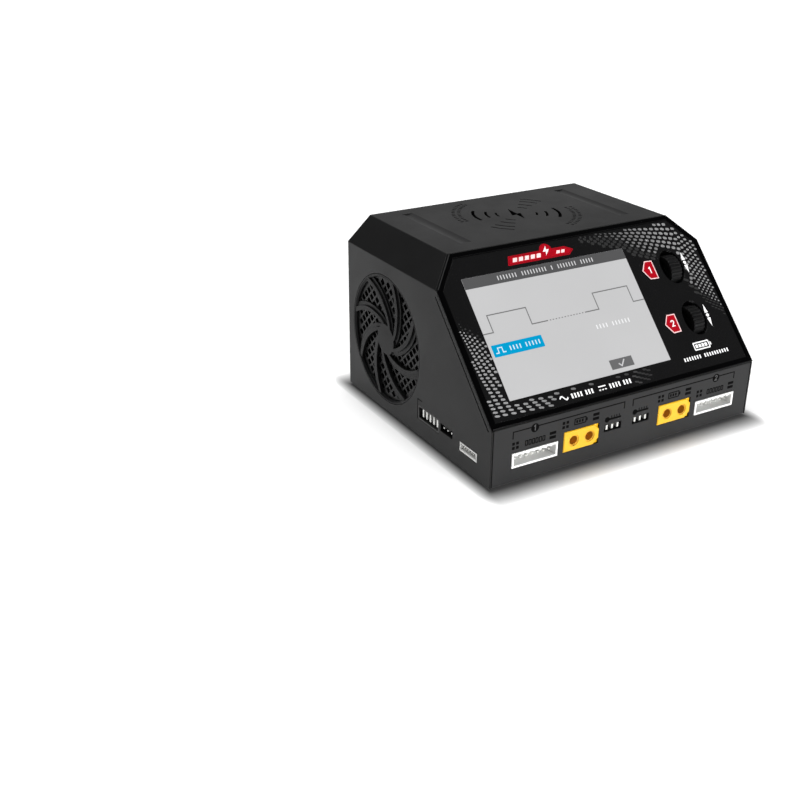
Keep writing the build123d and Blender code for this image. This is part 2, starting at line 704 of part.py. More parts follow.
def pin_rows(face, x, z, n, pitch, size, tip, back, foot, high=0):
    """Right-angle pins: out of the socket back, then down to the board at height foot.
    high makes upright blades of them instead of square pins."""
    with BuildPart() as pins:
        with BuildSketch(face.offset(-tip)):
            with Locations((x, z)):
                with GridLocations(pitch, 1, n, 1):
                    Rectangle(size, high or size)
        extrude(amount=-(back - tip))
        with BuildSketch(face.offset(-(back - size))):
            with Locations((x, (z + foot) / 2)):
                with GridLocations(pitch, 1, n, 1):
                    Rectangle(size, z - foot)
        extrude(amount=-size)
    return pins.part


with BuildPart() as balance_pins:
    for x in BAL_X:
        add(pin_rows(FRONT, x, BAL_Z - 0.3, 7, 2.5, PIN, 1.4, 9.2, BRD))


def drill(shell, pins):
    """Take the pins' own space out of a socket so that they sit in it without overlap."""
    return shell - pins


for k, x in enumerate(BAL_X, 1):
    finish(drill(socket_shell(FRONT, x, BAL_Z, 19.9, 5.75, 7.6, 0.8, 7),
                 balance_pins.part), "balance_socket_%d" % k)

with BuildPart() as battery_contacts:
    with BuildSketch(FRONT.offset(0.1)):
        for x in BAT_X:
            with Locations((x - 3.6, BAT_Z), (x + 3.6, BAT_Z)):
                Circle(2.25)
    extrude(amount=-15.1)
    with BuildSketch(FRONT.offset(1)):
        for x in BAT_X:
            with Locations((x - 3.6, BAT_Z), (x + 3.6, BAT_Z)):
                Circle(1.75)
    extrude(amount=-12.5, mode=Mode.SUBTRACT)
    with BuildSketch(FRONT.offset(-15.0)):
        for x in BAT_X:
            with Locations((x - 3.6, BAT_Z), (x + 3.6, BAT_Z)):
                Circle(1.6)
    extrude(amount=-3.0)
    with BuildSketch(FRONT.offset(-16.8)):
        for x in BAT_X:
            with Locations((x - 3.6, (BAT_Z + BRD) / 2), (x + 3.6, (BAT_Z + BRD) / 2)):
                Rectangle(1.6, BAT_Z - BRD)
    extrude(amount=-1.2)
finish(battery_contacts.part, "battery_contacts")

for k, x in enumerate(BAT_X, 1):
    with BuildPart() as battery_socket:
        with BuildSketch(FRONT.offset(-0.7)):
            with Locations((x, BAT_Z)):
                Rectangle(16.0, 8.1)
        extrude(amount=-15.3)
        with BuildSketch(FRONT.offset(-0.7)):
            with BuildLine():
                Polyline([(x + px, BAT_Z + pz) for px, pz in
                          ((-8.0, -4.05), (-8.0, 4.05), (5.6, 4.05), (8.0, 1.8), (8.0, -1.8), (5.6, -4.05))],
                         close=True)
            make_face()
        extrude(amount=1.0)
        chamfer(battery_socket.faces().sort_by(Axis.Y)[0].edges(), 0.3)
        with BuildSketch(FRONT.offset(1)):
            with Locations((x - 3.6, BAT_Z), (x + 3.6, BAT_Z)):
                Circle(2.25)
        extrude(amount=-20, mode=Mode.SUBTRACT)
    finish(battery_socket.part, "battery_socket_%d" % k)

with BuildPart() as thermometer_pins:
    for x in TMP_X:
        add(pin_rows(FRONT, x, TMP_Z + 0.1, 3, 2.54, 0.8, 0.3, 10.0, BRD, 1.8))
with BuildPart() as thermometer_headers:
    with BuildSketch(FRONT.offset(-T - 0.1)):
        for x in TMP_X:
            with Locations((x, TMP_Z)):
                Rectangle(9.4, 4.4)
    extrude(amount=-6.5)
    with BuildSketch(FRONT.offset(-T - 0.1)):
        for x in TMP_X:
            with Locations((x, TMP_Z)):
                Rectangle(8.0, 3.0)
    extrude(amount=-5.0, mode=Mode.SUBTRACT)
finish(drill(thermometer_headers.part, thermometer_pins.part), "thermometer_headers")

# ---------------------------------------------------------------- left sockets
with BuildPart() as aux_pins:
    add(pin_rows(LEFT, -AUX_Y + 0.6, AUX_Z + 0.3, 5, 2.5, 0.9, 0.45, 8.6, BRD, 3.0))
finish(drill(socket_shell(LEFT.offset(-0.3), -AUX_Y, AUX_Z, 14.9, 5.75, 7.2, 0.6, 0), aux_pins.part), "aux_socket")

with BuildPart() as servo_pins:
    add(pin_rows(LEFT, -SRV_Y, SRV_Z, 3, 2.54, PIN, 0.6, 9.6, BRD))
with BuildPart() as servo_header:
    with BuildSketch(LEFT.offset(-T - 0.1)):
        with Locations((-SRV_Y, SRV_Z)):
            Rectangle(9.4, 4.6)
    extrude(amount=-6.2)
    with BuildSketch(LEFT.offset(-T - 0.1)):
        with Locations((-SRV_Y, SRV_Z)):
            Rectangle(8.0, 3.1)
    extrude(amount=-4.8, mode=Mode.SUBTRACT)
finish(drill(servo_header.part, servo_pins.part), "servo_header")

with BuildPart() as sensor_pins:
    add(pin_rows(LEFT, -SEN_Y, SEN_Z - 0.1, 6, 1.5, 0.5, 0.8, 7.6, BRD))
finish(drill(socket_shell(LEFT.offset(-0.3), -SEN_Y, SEN_Z, 11.0, 3.5, 6.0, 0.55, 0), sensor_pins.part), "sensor_socket")

# the square pins of every signal socket
with BuildPart() as socket_pins:
    add(balance_pins.part)
    add(thermometer_pins.part)
    add(aux_pins.part)
    add(servo_pins.part)
    add(sensor_pins.part)
finish(socket_pins.part, "socket_pins")

# ---------------------------------------------------------------- rear inlets
with BuildPart() as ac_inlet:
    with BuildSketch(REAR.offset(-1.2)):
        with Locations((-AC_X, AC_Z)):
            RectangleRounded(31.0, 24.0, 2.5)
    extrude(amount=1.1)
    with BuildSketch(REAR.offset(-1.2)):
        with Locations((-AC_X, AC_Z)):
            RectangleRounded(27.4, 20.2, 2.3)
    extrude(amount=-18.0)
    with BuildSketch(REAR):
        with BuildLine():
            Polyline([(-AC_X + px, AC_Z + pz) for px, pz in
                      ((-12.2, -8.3), (12.2, -8.3), (12.2, 4.2), (8.1, 8.3), (-8.1, 8.3), (-12.2, 4.2))],
                     close=True)
        make_face()
    extrude(amount=-17.0, mode=Mode.SUBTRACT)
    with BuildSketch(REAR):
        with Locations((-AC_X - 7, AC_Z - 2), (-AC_X + 7, AC_Z - 2), (-AC_X, AC_Z + 2)):
            Rectangle(2, 4)
    extrude(amount=-30, mode=Mode.SUBTRACT)
finish(ac_inlet.part, "ac_inlet")

with BuildPart() as ac_blades:
    with BuildSketch(REAR.offset(-2.2)):
        with Locations((-AC_X - 7, AC_Z - 2), (-AC_X + 7, AC_Z - 2), (-AC_X, AC_Z + 2)):
            Rectangle(2, 4)
    extrude(amount=-21.0)
finish(ac_blades.part, "ac_blades")

with BuildPart() as dc_input:
    with BuildSketch(REAR.offset(-0.2)):
        with Locations((-DC_X, DC_Z)):
            Rectangle(16.2, 8.3)
    extrude(amount=-16.0)
    with BuildSketch(REAR.offset(-0.2)):
        with BuildLine():
            Polyline([(-DC_X + px, DC_Z + pz) for px, pz in
                      ((-7.3, -3.35), (-7.3, 3.35), (5.3, 3.35), (7.3, 1.5), (7.3, -1.5), (5.3, -3.35))],
                     close=True)
        make_face()
    extrude(amount=-9.5, mode=Mode.SUBTRACT)
    with BuildSketch(REAR):
        with Locations((-DC_X - 3.6, DC_Z), (-DC_X + 3.6, DC_Z)):
            Circle(1.75)
    extrude(amount=-30, mode=Mode.SUBTRACT)
finish(dc_input.part, "dc_input")

with BuildPart() as dc_contacts:
    with BuildSketch(REAR.offset(-1.4)):
        with Locations((-DC_X - 3.6, DC_Z), (-DC_X + 3.6, DC_Z)):
            Circle(1.75)
    extrude(amount=-17.5)
finish(dc_contacts.part, "dc_contacts")

# ---------------------------------------------------------------- charger board and what is on it
with BuildPart() as charger_board:
    with BuildSketch(UNDER.offset(BRD)):
        with BuildLine():
            Polyline((-58.4, 9.3), (-52.4, 9.3), (-52.4, 3.0), (52.4, 3.0), (52.4, 9.3), (58.4, 9.3),
                     (58.4, 47.6), (42.2, 47.6), (42.2, 98.5), (-42.2, 98.5), (-42.2, 47.6),
                     (-58.4, 47.6), close=True)
        make_face()
        for sx in (-1, 1):
            with Locations((sx * 50.0, 22.5), (sx * 38.0, 45.5), (sx * 38.0, 94.5)):
                Circle(1.4, mode=Mode.SUBTRACT)
    extrude(amount=-BRD_T)
finish(charger_board.part, "charger_board")

with BuildPart() as board_screws:
    with BuildSketch(UNDER.offset(BRD)):
        for sx in (-1, 1):
            with Locations((sx * 50.0, 22.5), (sx * 38.0, 45.5), (sx * 38.0, 94.5)):
                Circle(2.4)
    extrude(amount=1.5)
    with BuildSketch(UNDER.offset(BRD)):
        for sx in (-1, 1):
            with Locations((sx * 50.0, 22.5), (sx * 38.0, 45.5), (sx * 38.0, 94.5)):
                Circle(1.0)
    extrude(amount=-4.4)
    with BuildSketch(UNDER.offset(BRD + 1.5)):
        for sx in (-1, 1):
            with Locations((sx * 50.0, 22.5), (sx * 38.0, 45.5), (sx * 38.0, 94.5)):
                Rectangle(2.6, 0.5)
                Rectangle(0.5, 2.6)
    extrude(amount=-0.8, mode=Mode.SUBTRACT)
finish(board_screws.part, "board_screws")

with BuildPart() as board_chips:
    with BuildSketch(UNDER.offset(BRD)):
        with Locations((0, 26)):
            Rectangle(12, 12)
        with Locations((-16, 24), (16, 24), (-36, 30), (36, 30)):
            Rectangle(6, 5)
        with Locations((-26, 36), (-14, 36), (14, 36), (26, 36)):
            Rectangle(6.4, 6.0)
    extrude(amount=1.4)
    chamfer(board_chips.faces().filter_by(Axis.Z).group_by(Axis.Z)[-1].edges(), 0.25)
    with BuildSketch(UNDER.offset(BRD)):
        with Locations((0, 64)):
            with GridLocations(10, 12, 4, 2):
                Rectangle(6, 8)
    extrude(amount=2.0)
finish(board_chips.part, "board_chips")

with BuildPart() as power_inductors:
    with BuildSketch(UNDER.offset(BRD)):
        with Locations((-32, 57), (32, 57), (-32, 77), (32, 77)):
            RectangleRounded(14, 14, 2.5)
    extrude(amount=10.5)
    with BuildSketch(UNDER.offset(BRD + 10.5)):
        with Locations((-32, 57), (32, 57), (-32, 77), (32, 77)):
            Circle(4.6)
    extrude(amount=-0.6, mode=Mode.SUBTRACT)
finish(power_inductors.part, "power_inductors")

with BuildPart() as board_capacitors:
    caps = [(-30, 43.6), (-20, 43.6), (-10, 43.6), (10, 43.6), (20, 43.6), (30, 43.6)]
    with BuildSketch(UNDER.offset(BRD)):
        for c in caps:
            with Locations(c):
                Circle(4.0)
    extrude(amount=12.5)
    fillet(board_capacitors.edges().filter_by(GeomType.CIRCLE).group_by(Axis.Z)[-1], 0.5)
    with BuildSketch(UNDER.offset(BRD + 12.5)):
        for c in caps:
            with Locations(c):
                Rectangle(5.0, 0.3)
                Rectangle(0.3, 5.0)
    extrude(amount=-0.3, mode=Mode.SUBTRACT)
finish(board_capacitors.part, "board_capacitors")

with BuildPart() as charger_heatsink:
    with BuildSketch(UNDER.offset(BRD + 2.0)):
        with Locations((0, 64)):
            Rectangle(44, 24)
    extrude(amount=2.5)
    with BuildSketch(UNDER.offset(BRD + 4.5)):
        with Locations((0, 64)):
            with GridLocations(4.8, 1, 10, 1):
                Rectangle(0.8, 24)
    extrude(amount=11.0)
finish(charger_heatsink.part, "charger_heatsink")

with BuildPart() as buzzer:
    with BuildSketch(UNDER.offset(BRD)):
        with Locations((46, 38)):
            Circle(4.75)
    extrude(amount=6.0)
    with BuildSketch(UNDER.offset(BRD + 6)):
        with Locations((46, 38)):
            Circle(0.9)
    extrude(amount=-2, mode=Mode.SUBTRACT)
finish(buzzer.part, "buzzer")

# ---------------------------------------------------------------- mains supply
with BuildPart() as supply_board:
    with BuildSketch(UNDER.offset(PSU)):
        with Locations((0, 75.5)):
            Rectangle(83, 46)
    extrude(amount=-BRD_T)
finish(supply_board.part, "supply_board")

with BuildPart() as supply_standoffs:
    with BuildSketch(UNDER.offset(BRD)):
        for sx in (-1, 1):
            with Locations((sx * 39.0, 67.0), (sx * 38.5, 89.3)):
                RegularPolygon(2.4, 6)
    extrude(amount=PSU - BRD_T - BRD)
finish(supply_standoffs.part, "supply_standoffs")

with BuildPart() as transformer_core:
    with BuildSketch(Plane(origin=(-19, YF + 70 - 6.0, ZB + PSU + 13.5), x_dir=(1, 0, 0), z_dir=(0, 1, 0))):
        Rectangle(32, 25)
        with Locations((-8.75, 0), (8.75, 0)):
            Rectangle(7.0, 16, mode=Mode.SUBTRACT)
    extrude(amount=12.0)
finish(transformer_core.part, "transformer_core")

with BuildPart() as transformer_winding:
    with BuildSketch(UNDER.offset(PSU + 13.5 - 7.6)):
        with Locations((-19, 70)):
            RectangleRounded(23.6, 24.0, 5)
            Rectangle(10.6, 12.1, mode=Mode.SUBTRACT)
    extrude(amount=15.2)
finish(transformer_winding.part, "transformer_winding")

with BuildPart() as bulk_capacitors:
    with BuildSketch(UNDER.offset(PSU)):
        with Locations((10, 63), (30, 63)):
            Circle(8.8)
    extrude(amount=30.0)
    fillet(bulk_capacitors.edges().filter_by(GeomType.CIRCLE), 1.0)
finish(bulk_capacitors.part, "bulk_capacitors")

with BuildPart() as filter_choke:
    with BuildSketch(Plane(origin=(-30, YF + 92, ZB + PSU + 9.2), x_dir=(1, 0, 0), z_dir=(0, 1, 0))):
        Circle(9.0)
        Circle(4.0, mode=Mode.SUBTRACT)
    extrude(amount=4.5, both=True)
    fillet(filter_choke.edges().filter_by(GeomType.CIRCLE), 1.2)
finish(filter_choke.part, "filter_choke")

with BuildPart() as supply_heatsink:
    with BuildSketch(UNDER.offset(PSU)):
        with Locations((-4, 92)):
            Rectangle(3.0, 12)
            with Locations((-2.6, -4), (-2.6, 0), (-2.6, 4)):
                Rectangle(3.6, 1.0)
    extrude(amount=24.0)
finish(supply_heatsink.part, "supply_heatsink")

# ---------------------------------------------------------------- internal leads
with BuildPart() as inlet_leads:
    for dx, dz in ((-7, -2), (7, -2), (0, 2)):
        start = (AC_X + dx, YB - 23.2, ZB + AC_Z + dz)
        turn = (AC_X + dx, YB - 29.2, ZB + AC_Z + dz)
        end = (AC_X + dx, YB - 29.2, ZB + PSU)
        with BuildLine():
            FilletPolyline(start, turn, end, radius=4.5)
        with BuildSketch(Plane(origin=start, z_dir=(0, -1, 0))):
            Circle(1.0)
        sweep()
    for dx in (-3.6, 3.6):
        start = (DC_X + dx, YB - 18.9, ZB + DC_Z)
        turn = (DC_X + dx, YB - 25.2, ZB + DC_Z)
        end = (DC_X + dx, YB - 25.2, ZB + BRD)
        with BuildLine():
            FilletPolyline(start, turn, end, radius=4.5)
        with BuildSketch(Plane(origin=start, z_dir=(0, -1, 0))):
            Circle(1.5)
        sweep()
finish(inlet_leads.part, "inlet_leads")
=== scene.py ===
import json
import math

import bmesh
import bpy
from mathutils import Matrix, Vector
from mathutils.geometry import tessellate_polygon

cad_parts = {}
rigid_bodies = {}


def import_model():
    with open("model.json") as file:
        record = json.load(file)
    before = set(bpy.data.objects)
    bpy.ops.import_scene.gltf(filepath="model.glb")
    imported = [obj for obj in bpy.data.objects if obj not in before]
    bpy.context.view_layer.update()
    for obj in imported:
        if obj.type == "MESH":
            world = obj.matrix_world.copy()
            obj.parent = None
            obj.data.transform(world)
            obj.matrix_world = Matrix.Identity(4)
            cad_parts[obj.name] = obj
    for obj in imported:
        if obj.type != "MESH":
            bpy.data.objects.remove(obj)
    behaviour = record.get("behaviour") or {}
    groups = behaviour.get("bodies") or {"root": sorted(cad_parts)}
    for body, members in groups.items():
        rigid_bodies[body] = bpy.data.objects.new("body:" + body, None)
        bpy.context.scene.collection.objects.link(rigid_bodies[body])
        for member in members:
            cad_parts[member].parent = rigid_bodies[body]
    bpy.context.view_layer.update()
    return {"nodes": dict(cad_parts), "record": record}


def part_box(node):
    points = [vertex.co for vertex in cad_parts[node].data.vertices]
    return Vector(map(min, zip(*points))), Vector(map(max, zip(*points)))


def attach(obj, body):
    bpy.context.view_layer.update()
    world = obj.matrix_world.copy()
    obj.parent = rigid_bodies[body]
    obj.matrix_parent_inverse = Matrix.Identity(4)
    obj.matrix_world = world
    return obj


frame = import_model()
NODES = frame["nodes"]
SLOTS = {s["node"]: s["material_slot"] for s in frame["record"]["subparts"]}

# ---------------------------------------------------------------- the object's own planes, in mm
MM = 0.001
case_low, case_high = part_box("upper_casing")
HALF = case_high.x / MM                # half the casing width
YF, ZB = case_low.y / MM, case_low.z / MM
HF, RISE, RUN = 22.56, 48.44, 46.3     # front height, and the slope's rise and run
LEN = math.hypot(RISE, RUN)
CA, SA = RUN / LEN, RISE / LEN
SHEET = 0.35                           # top of the printed sheet above the slope plane


class Face:
    """A flat face: u runs across it, v up it and n out of it, all in mm."""

    def __init__(self, origin, u, v, n):
        self.o, self.u, self.v, self.n = Vector(origin), Vector(u), Vector(v), Vector(n)

    def mm(self, u, v, n=0.0):
        return self.o + self.u * u + self.v * v + self.n * n

    def at(self, u, v, n=0.0):
        return self.mm(u, v, n) * MM


SLOPE = Face((0, YF, ZB + HF), (1, 0, 0), (0, CA, SA), (0, -SA, CA))
FRONT = Face((0, YF, ZB), (1, 0, 0), (0, 0, 1), (0, -1, 0))
LEFT = Face((-HALF, YF, ZB), (0, -1, 0), (0, 0, 1), (-1, 0, 0))
REAR = Face((0, case_high.y / MM - 1.2, ZB), (-1, 0, 0), (0, 0, 1), (0, 1, 0))


# ---------------------------------------------------------------- materials
class Nodes:
    """Builds one material's node tree."""

    def __init__(self, name):
        self.mat = bpy.data.materials.new(name)
        self.mat.use_nodes = True
        self.t = self.mat.node_tree
        self.bsdf = next(n for n in self.t.nodes if n.type == "BSDF_PRINCIPLED")
        self.coord = self.new("ShaderNodeTexCoord")

    def new(self, kind, **values):
        n = self.t.nodes.new(kind)
        for k, v in values.items():
            setattr(n, k, v)
        return n

    def link(self, a, b):
        self.t.links.new(a, b)

    def noise(self, scale, detail=3.0, rough=0.55, stretch=None, distort=0.0):
        n = self.new("ShaderNodeTexNoise")
        n.inputs["Scale"].default_value = scale
        n.inputs["Detail"].default_value = detail
        n.inputs["Roughness"].default_value = rough
        n.inputs["Distortion"].default_value = distort
        if stretch:
            m = self.new("ShaderNodeMapping")
            m.inputs["Scale"].default_value = stretch
            self.link(self.coord.outputs["Object"], m.inputs["Vector"])
            self.link(m.outputs["Vector"], n.inputs["Vector"])
        else:
            self.link(self.coord.outputs["Object"], n.inputs["Vector"])
        return n.outputs["Fac"]

    def ramp(self, source, stops):
        r = self.new("ShaderNodeValToRGB")
        e = r.color_ramp.elements
        while len(e) < len(stops):
            e.new(0.5)
        for i, (pos, col) in enumerate(stops):
            e[i].position = pos
            e[i].color = (*col, 1) if len(col) == 3 else col
        self.link(source, r.inputs["Fac"])
        return r.outputs["Color"]

    def spread(self, source, low, high, a=0.3, b=0.7):
        m = self.new("ShaderNodeMapRange")
        for k, v in (("From Min", a), ("From Max", b), ("To Min", low), ("To Max", high)):
            m.inputs[k].default_value = v
        self.link(source, m.inputs["Value"])
        return m.outputs["Result"]

    def bump(self, source, depth, strength=1.0, below=None):
        b = self.new("ShaderNodeBump")
        b.inputs["Strength"].default_value = strength
        b.inputs["Distance"].default_value = depth
        self.link(source, b.inputs["Height"])
        if below is not None:
            self.link(below, b.inputs["Normal"])
        return b.outputs["Normal"]

    def edge(self, radius):
        b = self.new("ShaderNodeBevel", samples=4)
        b.inputs["Radius"].default_value = radius
        return b.outputs["Normal"]

    def set(self, **values):
        names = {"rough": "Roughness", "metal": "Metallic", "coat": "Coat Weight", "coat_rough": "Coat Roughness",
                 "spec": "Specular IOR Level", "ior": "IOR", "sheen": "Sheen Weight", "glow": "Emission Strength",
                 "clear": "Transmission Weight", "alpha": "Alpha", "aniso": "Anisotropic",
                 "sheen_rough": "Sheen Roughness"}
        for k, v in values.items():
            self.bsdf.inputs[names[k]].default_value = v
        return self


def shade(c, f):
    return tuple(min(1.0, x * f) for x in c)


def moulded(name, colour, rough=0.5, grain=2600.0, depth=0.00002, mottle=0.10, patch=35.0, edge=0.0003,
            scuff=0.06, **rest):
    """Moulded plastic or rubber: spark-eroded grain, faint tone change, softened edges."""
    m = Nodes(name)
    broad = m.noise(patch, 4.0, 0.6)
    fine = m.noise(grain, 2.0, 0.6)
    m.link(m.ramp(broad, [(0.3, shade(colour, 1 - mottle)), (0.7, shade(colour, 1 + mottle))]),
           m.bsdf.inputs["Base Color"])
    m.link(m.spread(broad, rough - scuff, rough + scuff), m.bsdf.inputs["Roughness"])
    m.link(m.bump(fine, depth, 0.8, m.edge(edge)), m.bsdf.inputs["Normal"])
    return m.set(**rest).mat


def glossy(name, colour, rough=0.12, haze=0.05, edge=0.00025, mottle=0.08, **rest):
    """Polished plastic: wiped haze in the roughness and a very faint ripple."""
    m = Nodes(name)
    smear = m.noise(60.0, 5.0, 0.6, stretch=(1.0, 0.35, 0.35), distort=0.6)
    m.link(m.ramp(smear, [(0.3, shade(colour, 1 - mottle)), (0.7, shade(colour, 1 + mottle))]),
           m.bsdf.inputs["Base Color"])
    m.link(m.spread(smear, rough, rough + haze), m.bsdf.inputs["Roughness"])
    m.link(m.bump(m.noise(240.0, 2.0), 0.000004, 0.5, m.edge(edge)), m.bsdf.inputs["Normal"])
    return m.set(**rest).mat


def metal(name, colour, rough=0.25, lines=(1.0, 1.0, 1.0), scale=900.0, tarnish=0.12, edge=0.00015, glow=0.0):
    """Metal with drawing or turning marks and a little tarnish; glow, where given, is painted light: the metal's tone
    glows.
    """
    m = Nodes(name)
    broad = m.noise(90.0, 4.0)
    marks = m.noise(scale, 2.0, 0.5, stretch=lines)
    tone = m.ramp(broad, [(0.3, shade(colour, 1 - tarnish)), (0.7, shade(colour, 1.0))])
    m.link(tone, m.bsdf.inputs["Base Color"])
    # painted light: with glow, the metal's own tone is fed to its emission
    if glow:
        m.link(tone, m.bsdf.inputs["Emission Color"])
    m.link(m.spread(marks, rough - 0.06, rough + 0.12), m.bsdf.inputs["Roughness"])
    m.link(m.bump(marks, 0.000008, 0.6, m.edge(edge)), m.bsdf.inputs["Normal"])
    return m.set(metal=1.0, glow=glow).mat


def board(name, colour):
    """Lacquered circuit board with faint copper tracks under the lacquer."""
    m = Nodes(name)
    w = m.new("ShaderNodeTexBrick")
    w.inputs["Scale"].default_value = 260.0
    w.inputs["Mortar Size"].default_value = 0.012
    w.inputs["Color1"].default_value = (*colour, 1)
    w.inputs["Color2"].default_value = (*shade(colour, 0.8), 1)
    w.inputs["Mortar"].default_value = (*shade(colour, 1.9), 1)
    m.link(m.coord.outputs["Object"], w.inputs["Vector"])
    m.link(w.outputs["Color"], m.bsdf.inputs["Base Color"])
    m.link(m.spread(m.noise(200.0), 0.25, 0.4), m.bsdf.inputs["Roughness"])
    m.link(m.bump(w.outputs["Fac"], 0.00003, 0.5), m.bsdf.inputs["Normal"])
    return m.mat


def wound(name, colour):
    """Enamelled wire laid in turns, or tape wound on a bobbin."""
    m = Nodes(name)
    w = m.new("ShaderNodeTexWave", wave_type="BANDS", bands_direction="DIAGONAL")
    w.inputs["Scale"].default_value = 600.0
    w.inputs["Distortion"].default_value = 1.0
    m.link(m.coord.outputs["Object"], w.inputs["Vector"])
    m.link(m.ramp(w.outputs["Fac"], [(0.2, shade(colour, 0.45)), (0.8, colour)]), m.bsdf.inputs["Base Color"])
    m.link(m.spread(m.noise(300.0), 0.25, 0.45), m.bsdf.inputs["Roughness"])
    m.link(m.bump(w.outputs["Fac"], 0.00006, 0.8), m.bsdf.inputs["Normal"])
    return m.set(metal=0.4).mat


def lit(name, colour, strength, mottle=0.02, rough=0.3, cell=0.0):
    """A lit part of the display: even glow with a faint fine-grain bump."""
    m = Nodes(name)
    broad = m.noise(18.0, 2.0)
    col = m.ramp(broad, [(0.3, shade(colour, 1 - mottle)), (0.7, shade(colour, 1 + mottle))])
    m.link(m.ramp(broad, [(0.3, shade(colour, 0.22)), (0.7, shade(colour, 0.24))]), m.bsdf.inputs["Base Color"])
    m.link(col, m.bsdf.inputs["Emission Color"])
    m.link(m.spread(broad, rough - 0.03, rough + 0.05), m.bsdf.inputs["Roughness"])
    m.link(m.bump(m.noise(3000.0, 1.0), 0.000004, 0.4), m.bsdf.inputs["Normal"])
    return m.set(glow=strength, spec=0.06).mat


def ink(name, colour, rough=0.35, spec=0.4, mottle=0.06, fade=None, glow=0.0):
    """Screen-printed ink. fade = (start, end, dark colour) darkens it from one place to another."""
    m = Nodes(name)
    n = m.noise(700.0, 2.0)
    col = m.ramp(n, [(0.3, shade(colour, 1 - mottle)), (0.7, shade(colour, 1 + mottle))])
    if fade:
        start, end, dark = Vector(fade[0]), Vector(fade[1]), fade[2]
        d = end - start
        dot = m.new("ShaderNodeVectorMath", operation="DOT_PRODUCT")
        dot.inputs[1].default_value = d / d.length_squared
        m.link(m.coord.outputs["Object"], dot.inputs[0])
        base = start.dot(d) / d.length_squared
        t = m.spread(dot.outputs["Value"], 0.0, 1.0, base, base + 1.0)
        mix = m.new("ShaderNodeMix", data_type="RGBA")
        mix.inputs["B"].default_value = (0, 0, 0, 1)
        sockets = [s for s in mix.inputs if s.type == "RGBA"]
        m.link(t, next(s for s in mix.inputs if s.name == "Factor" and s.type == "VALUE"))
        m.link(col, sockets[0])
        sockets[1].default_value = (*dark, 1)
        col = next(s for s in mix.outputs if s.type == "RGBA")
    m.link(col, m.bsdf.inputs["Base Color"])
    m.link(m.spread(n, rough - 0.04, rough + 0.06), m.bsdf.inputs["Roughness"])
    m.link(m.bump(n, 0.000003, 0.5), m.bsdf.inputs["Normal"])
    if glow:
        m.link(col, m.bsdf.inputs["Emission Color"])
    return m.set(spec=spec, glow=glow).mat


GREY = (0.0062, 0.0062, 0.0064)
MATS = {
    "casing": moulded("matte_casing", GREY, rough=0.36, mottle=0.08, spec=0.16),
    # painted light: the tray along the lower walls is the casing's grey made 2.3 times lighter
    "tray": moulded("matte_tray_painted_lighter", shade(GREY, 2.3), rough=0.36, mottle=0.08, spec=0.19),
    "panel": moulded("satin_panel", shade(GREY, 1.1), rough=0.42, spec=0.15),
    "rubber": moulded("soft_rubber", (0.012, 0.012, 0.012), rough=0.75, grain=1500.0, depth=0.00004),
    "screw": metal("black_oxide", (0.05, 0.05, 0.052), rough=0.4),
    "bezel": glossy("gloss_bezel", (0.0006, 0.0006, 0.0007), rough=0.12, spec=0.06),
    "overlay": glossy("gloss_overlay", (0.0036, 0.0036, 0.0038), rough=0.2, spec=0.2),
    "screen": lit("lit_display", (0.56, 0.56, 0.565), 0.70),
    "lcd": glossy("display_glass", (0.2, 0.22, 0.23), rough=0.1),
    "tray_metal": metal("folded_aluminium", (0.6, 0.6, 0.61), rough=0.35),
    "board_green": board("green_board", (0.012, 0.09, 0.04)),
    "standoff": metal("turned_brass", (0.6, 0.42, 0.15), rough=0.28),
    "ribbon": glossy("amber_film", (0.35, 0.13, 0.02), rough=0.3),
    "wheel": moulded("ribbed_wheel", (0.0035, 0.0035, 0.0037), rough=0.45, edge=0.0002, spec=0.12),
    "axle": metal("ground_steel", (0.55, 0.55, 0.56), rough=0.2, lines=(0.2, 4.0, 4.0)),
    "yoke": moulded("natural_yoke", (0.6, 0.6, 0.56), rough=0.45),
    "encoder": moulded("black_housing", (0.015, 0.015, 0.015), rough=0.4),
    "guard": moulded("satin_guard", shade(GREY, 1.0), rough=0.36, edge=0.0003, spec=0.1),
    "impeller": moulded("satin_impeller", (0.010, 0.010, 0.0105), rough=0.35),
    "mesh": moulded("satin_mesh", shade(GREY, 1.2), rough=0.36, edge=0.0002, spec=0.15),
    "fan_frame": moulded("fan_frame_plastic", (0.010, 0.010, 0.0105), rough=0.4),
    "copper": wound("copper_winding", (0.45, 0.16, 0.06)),
    "white_nylon": moulded("white_nylon", (0.80, 0.80, 0.79), rough=0.42, mottle=0.03, edge=0.0002, depth=0.00001),
    "yellow_nylon": moulded("yellow_nylon", (0.70, 0.39, 0.003), rough=0.35, mottle=0.04, edge=0.0003, depth=0.000012),
    # painted highlights: the gold contacts and the plated pins glow faintly, though neither is a lamp
    "gold": metal("gold_plate_painted_glow", (0.78, 0.43, 0.05), rough=0.3, glow=0.09),
    "black_nylon": moulded("black_nylon", (0.012, 0.012, 0.012), rough=0.42, edge=0.0002),
    "pin_metal": metal("plated_pin_painted_glow", (0.74, 0.74, 0.72), rough=0.3, glow=0.05),
    "chip": moulded("epoxy_chip", (0.008, 0.008, 0.008), rough=0.55),
    "inductor": moulded("pressed_powder", (0.05, 0.05, 0.05), rough=0.7, grain=1800.0, depth=0.00005),
    "can": metal("sleeved_can", (0.5, 0.5, 0.52), rough=0.3),
    "heatsink": metal("extruded_heatsink", (0.45, 0.45, 0.46), rough=0.35, lines=(0.3, 3.0, 3.0)),
    "ferrite": moulded("sintered_ferrite", (0.03, 0.028, 0.028), rough=0.6),
    "tape": wound("yellow_tape", (0.6, 0.42, 0.05)),
    "lead": moulded("lead_insulation", (0.2, 0.012, 0.012), rough=0.5, mottle=0.2),
}
for name, obj in NODES.items():
    mat = MATS[SLOTS[name]]
    if not obj.material_slots:
        obj.data.materials.append(mat)
    for s in obj.material_slots:
        s.material = mat

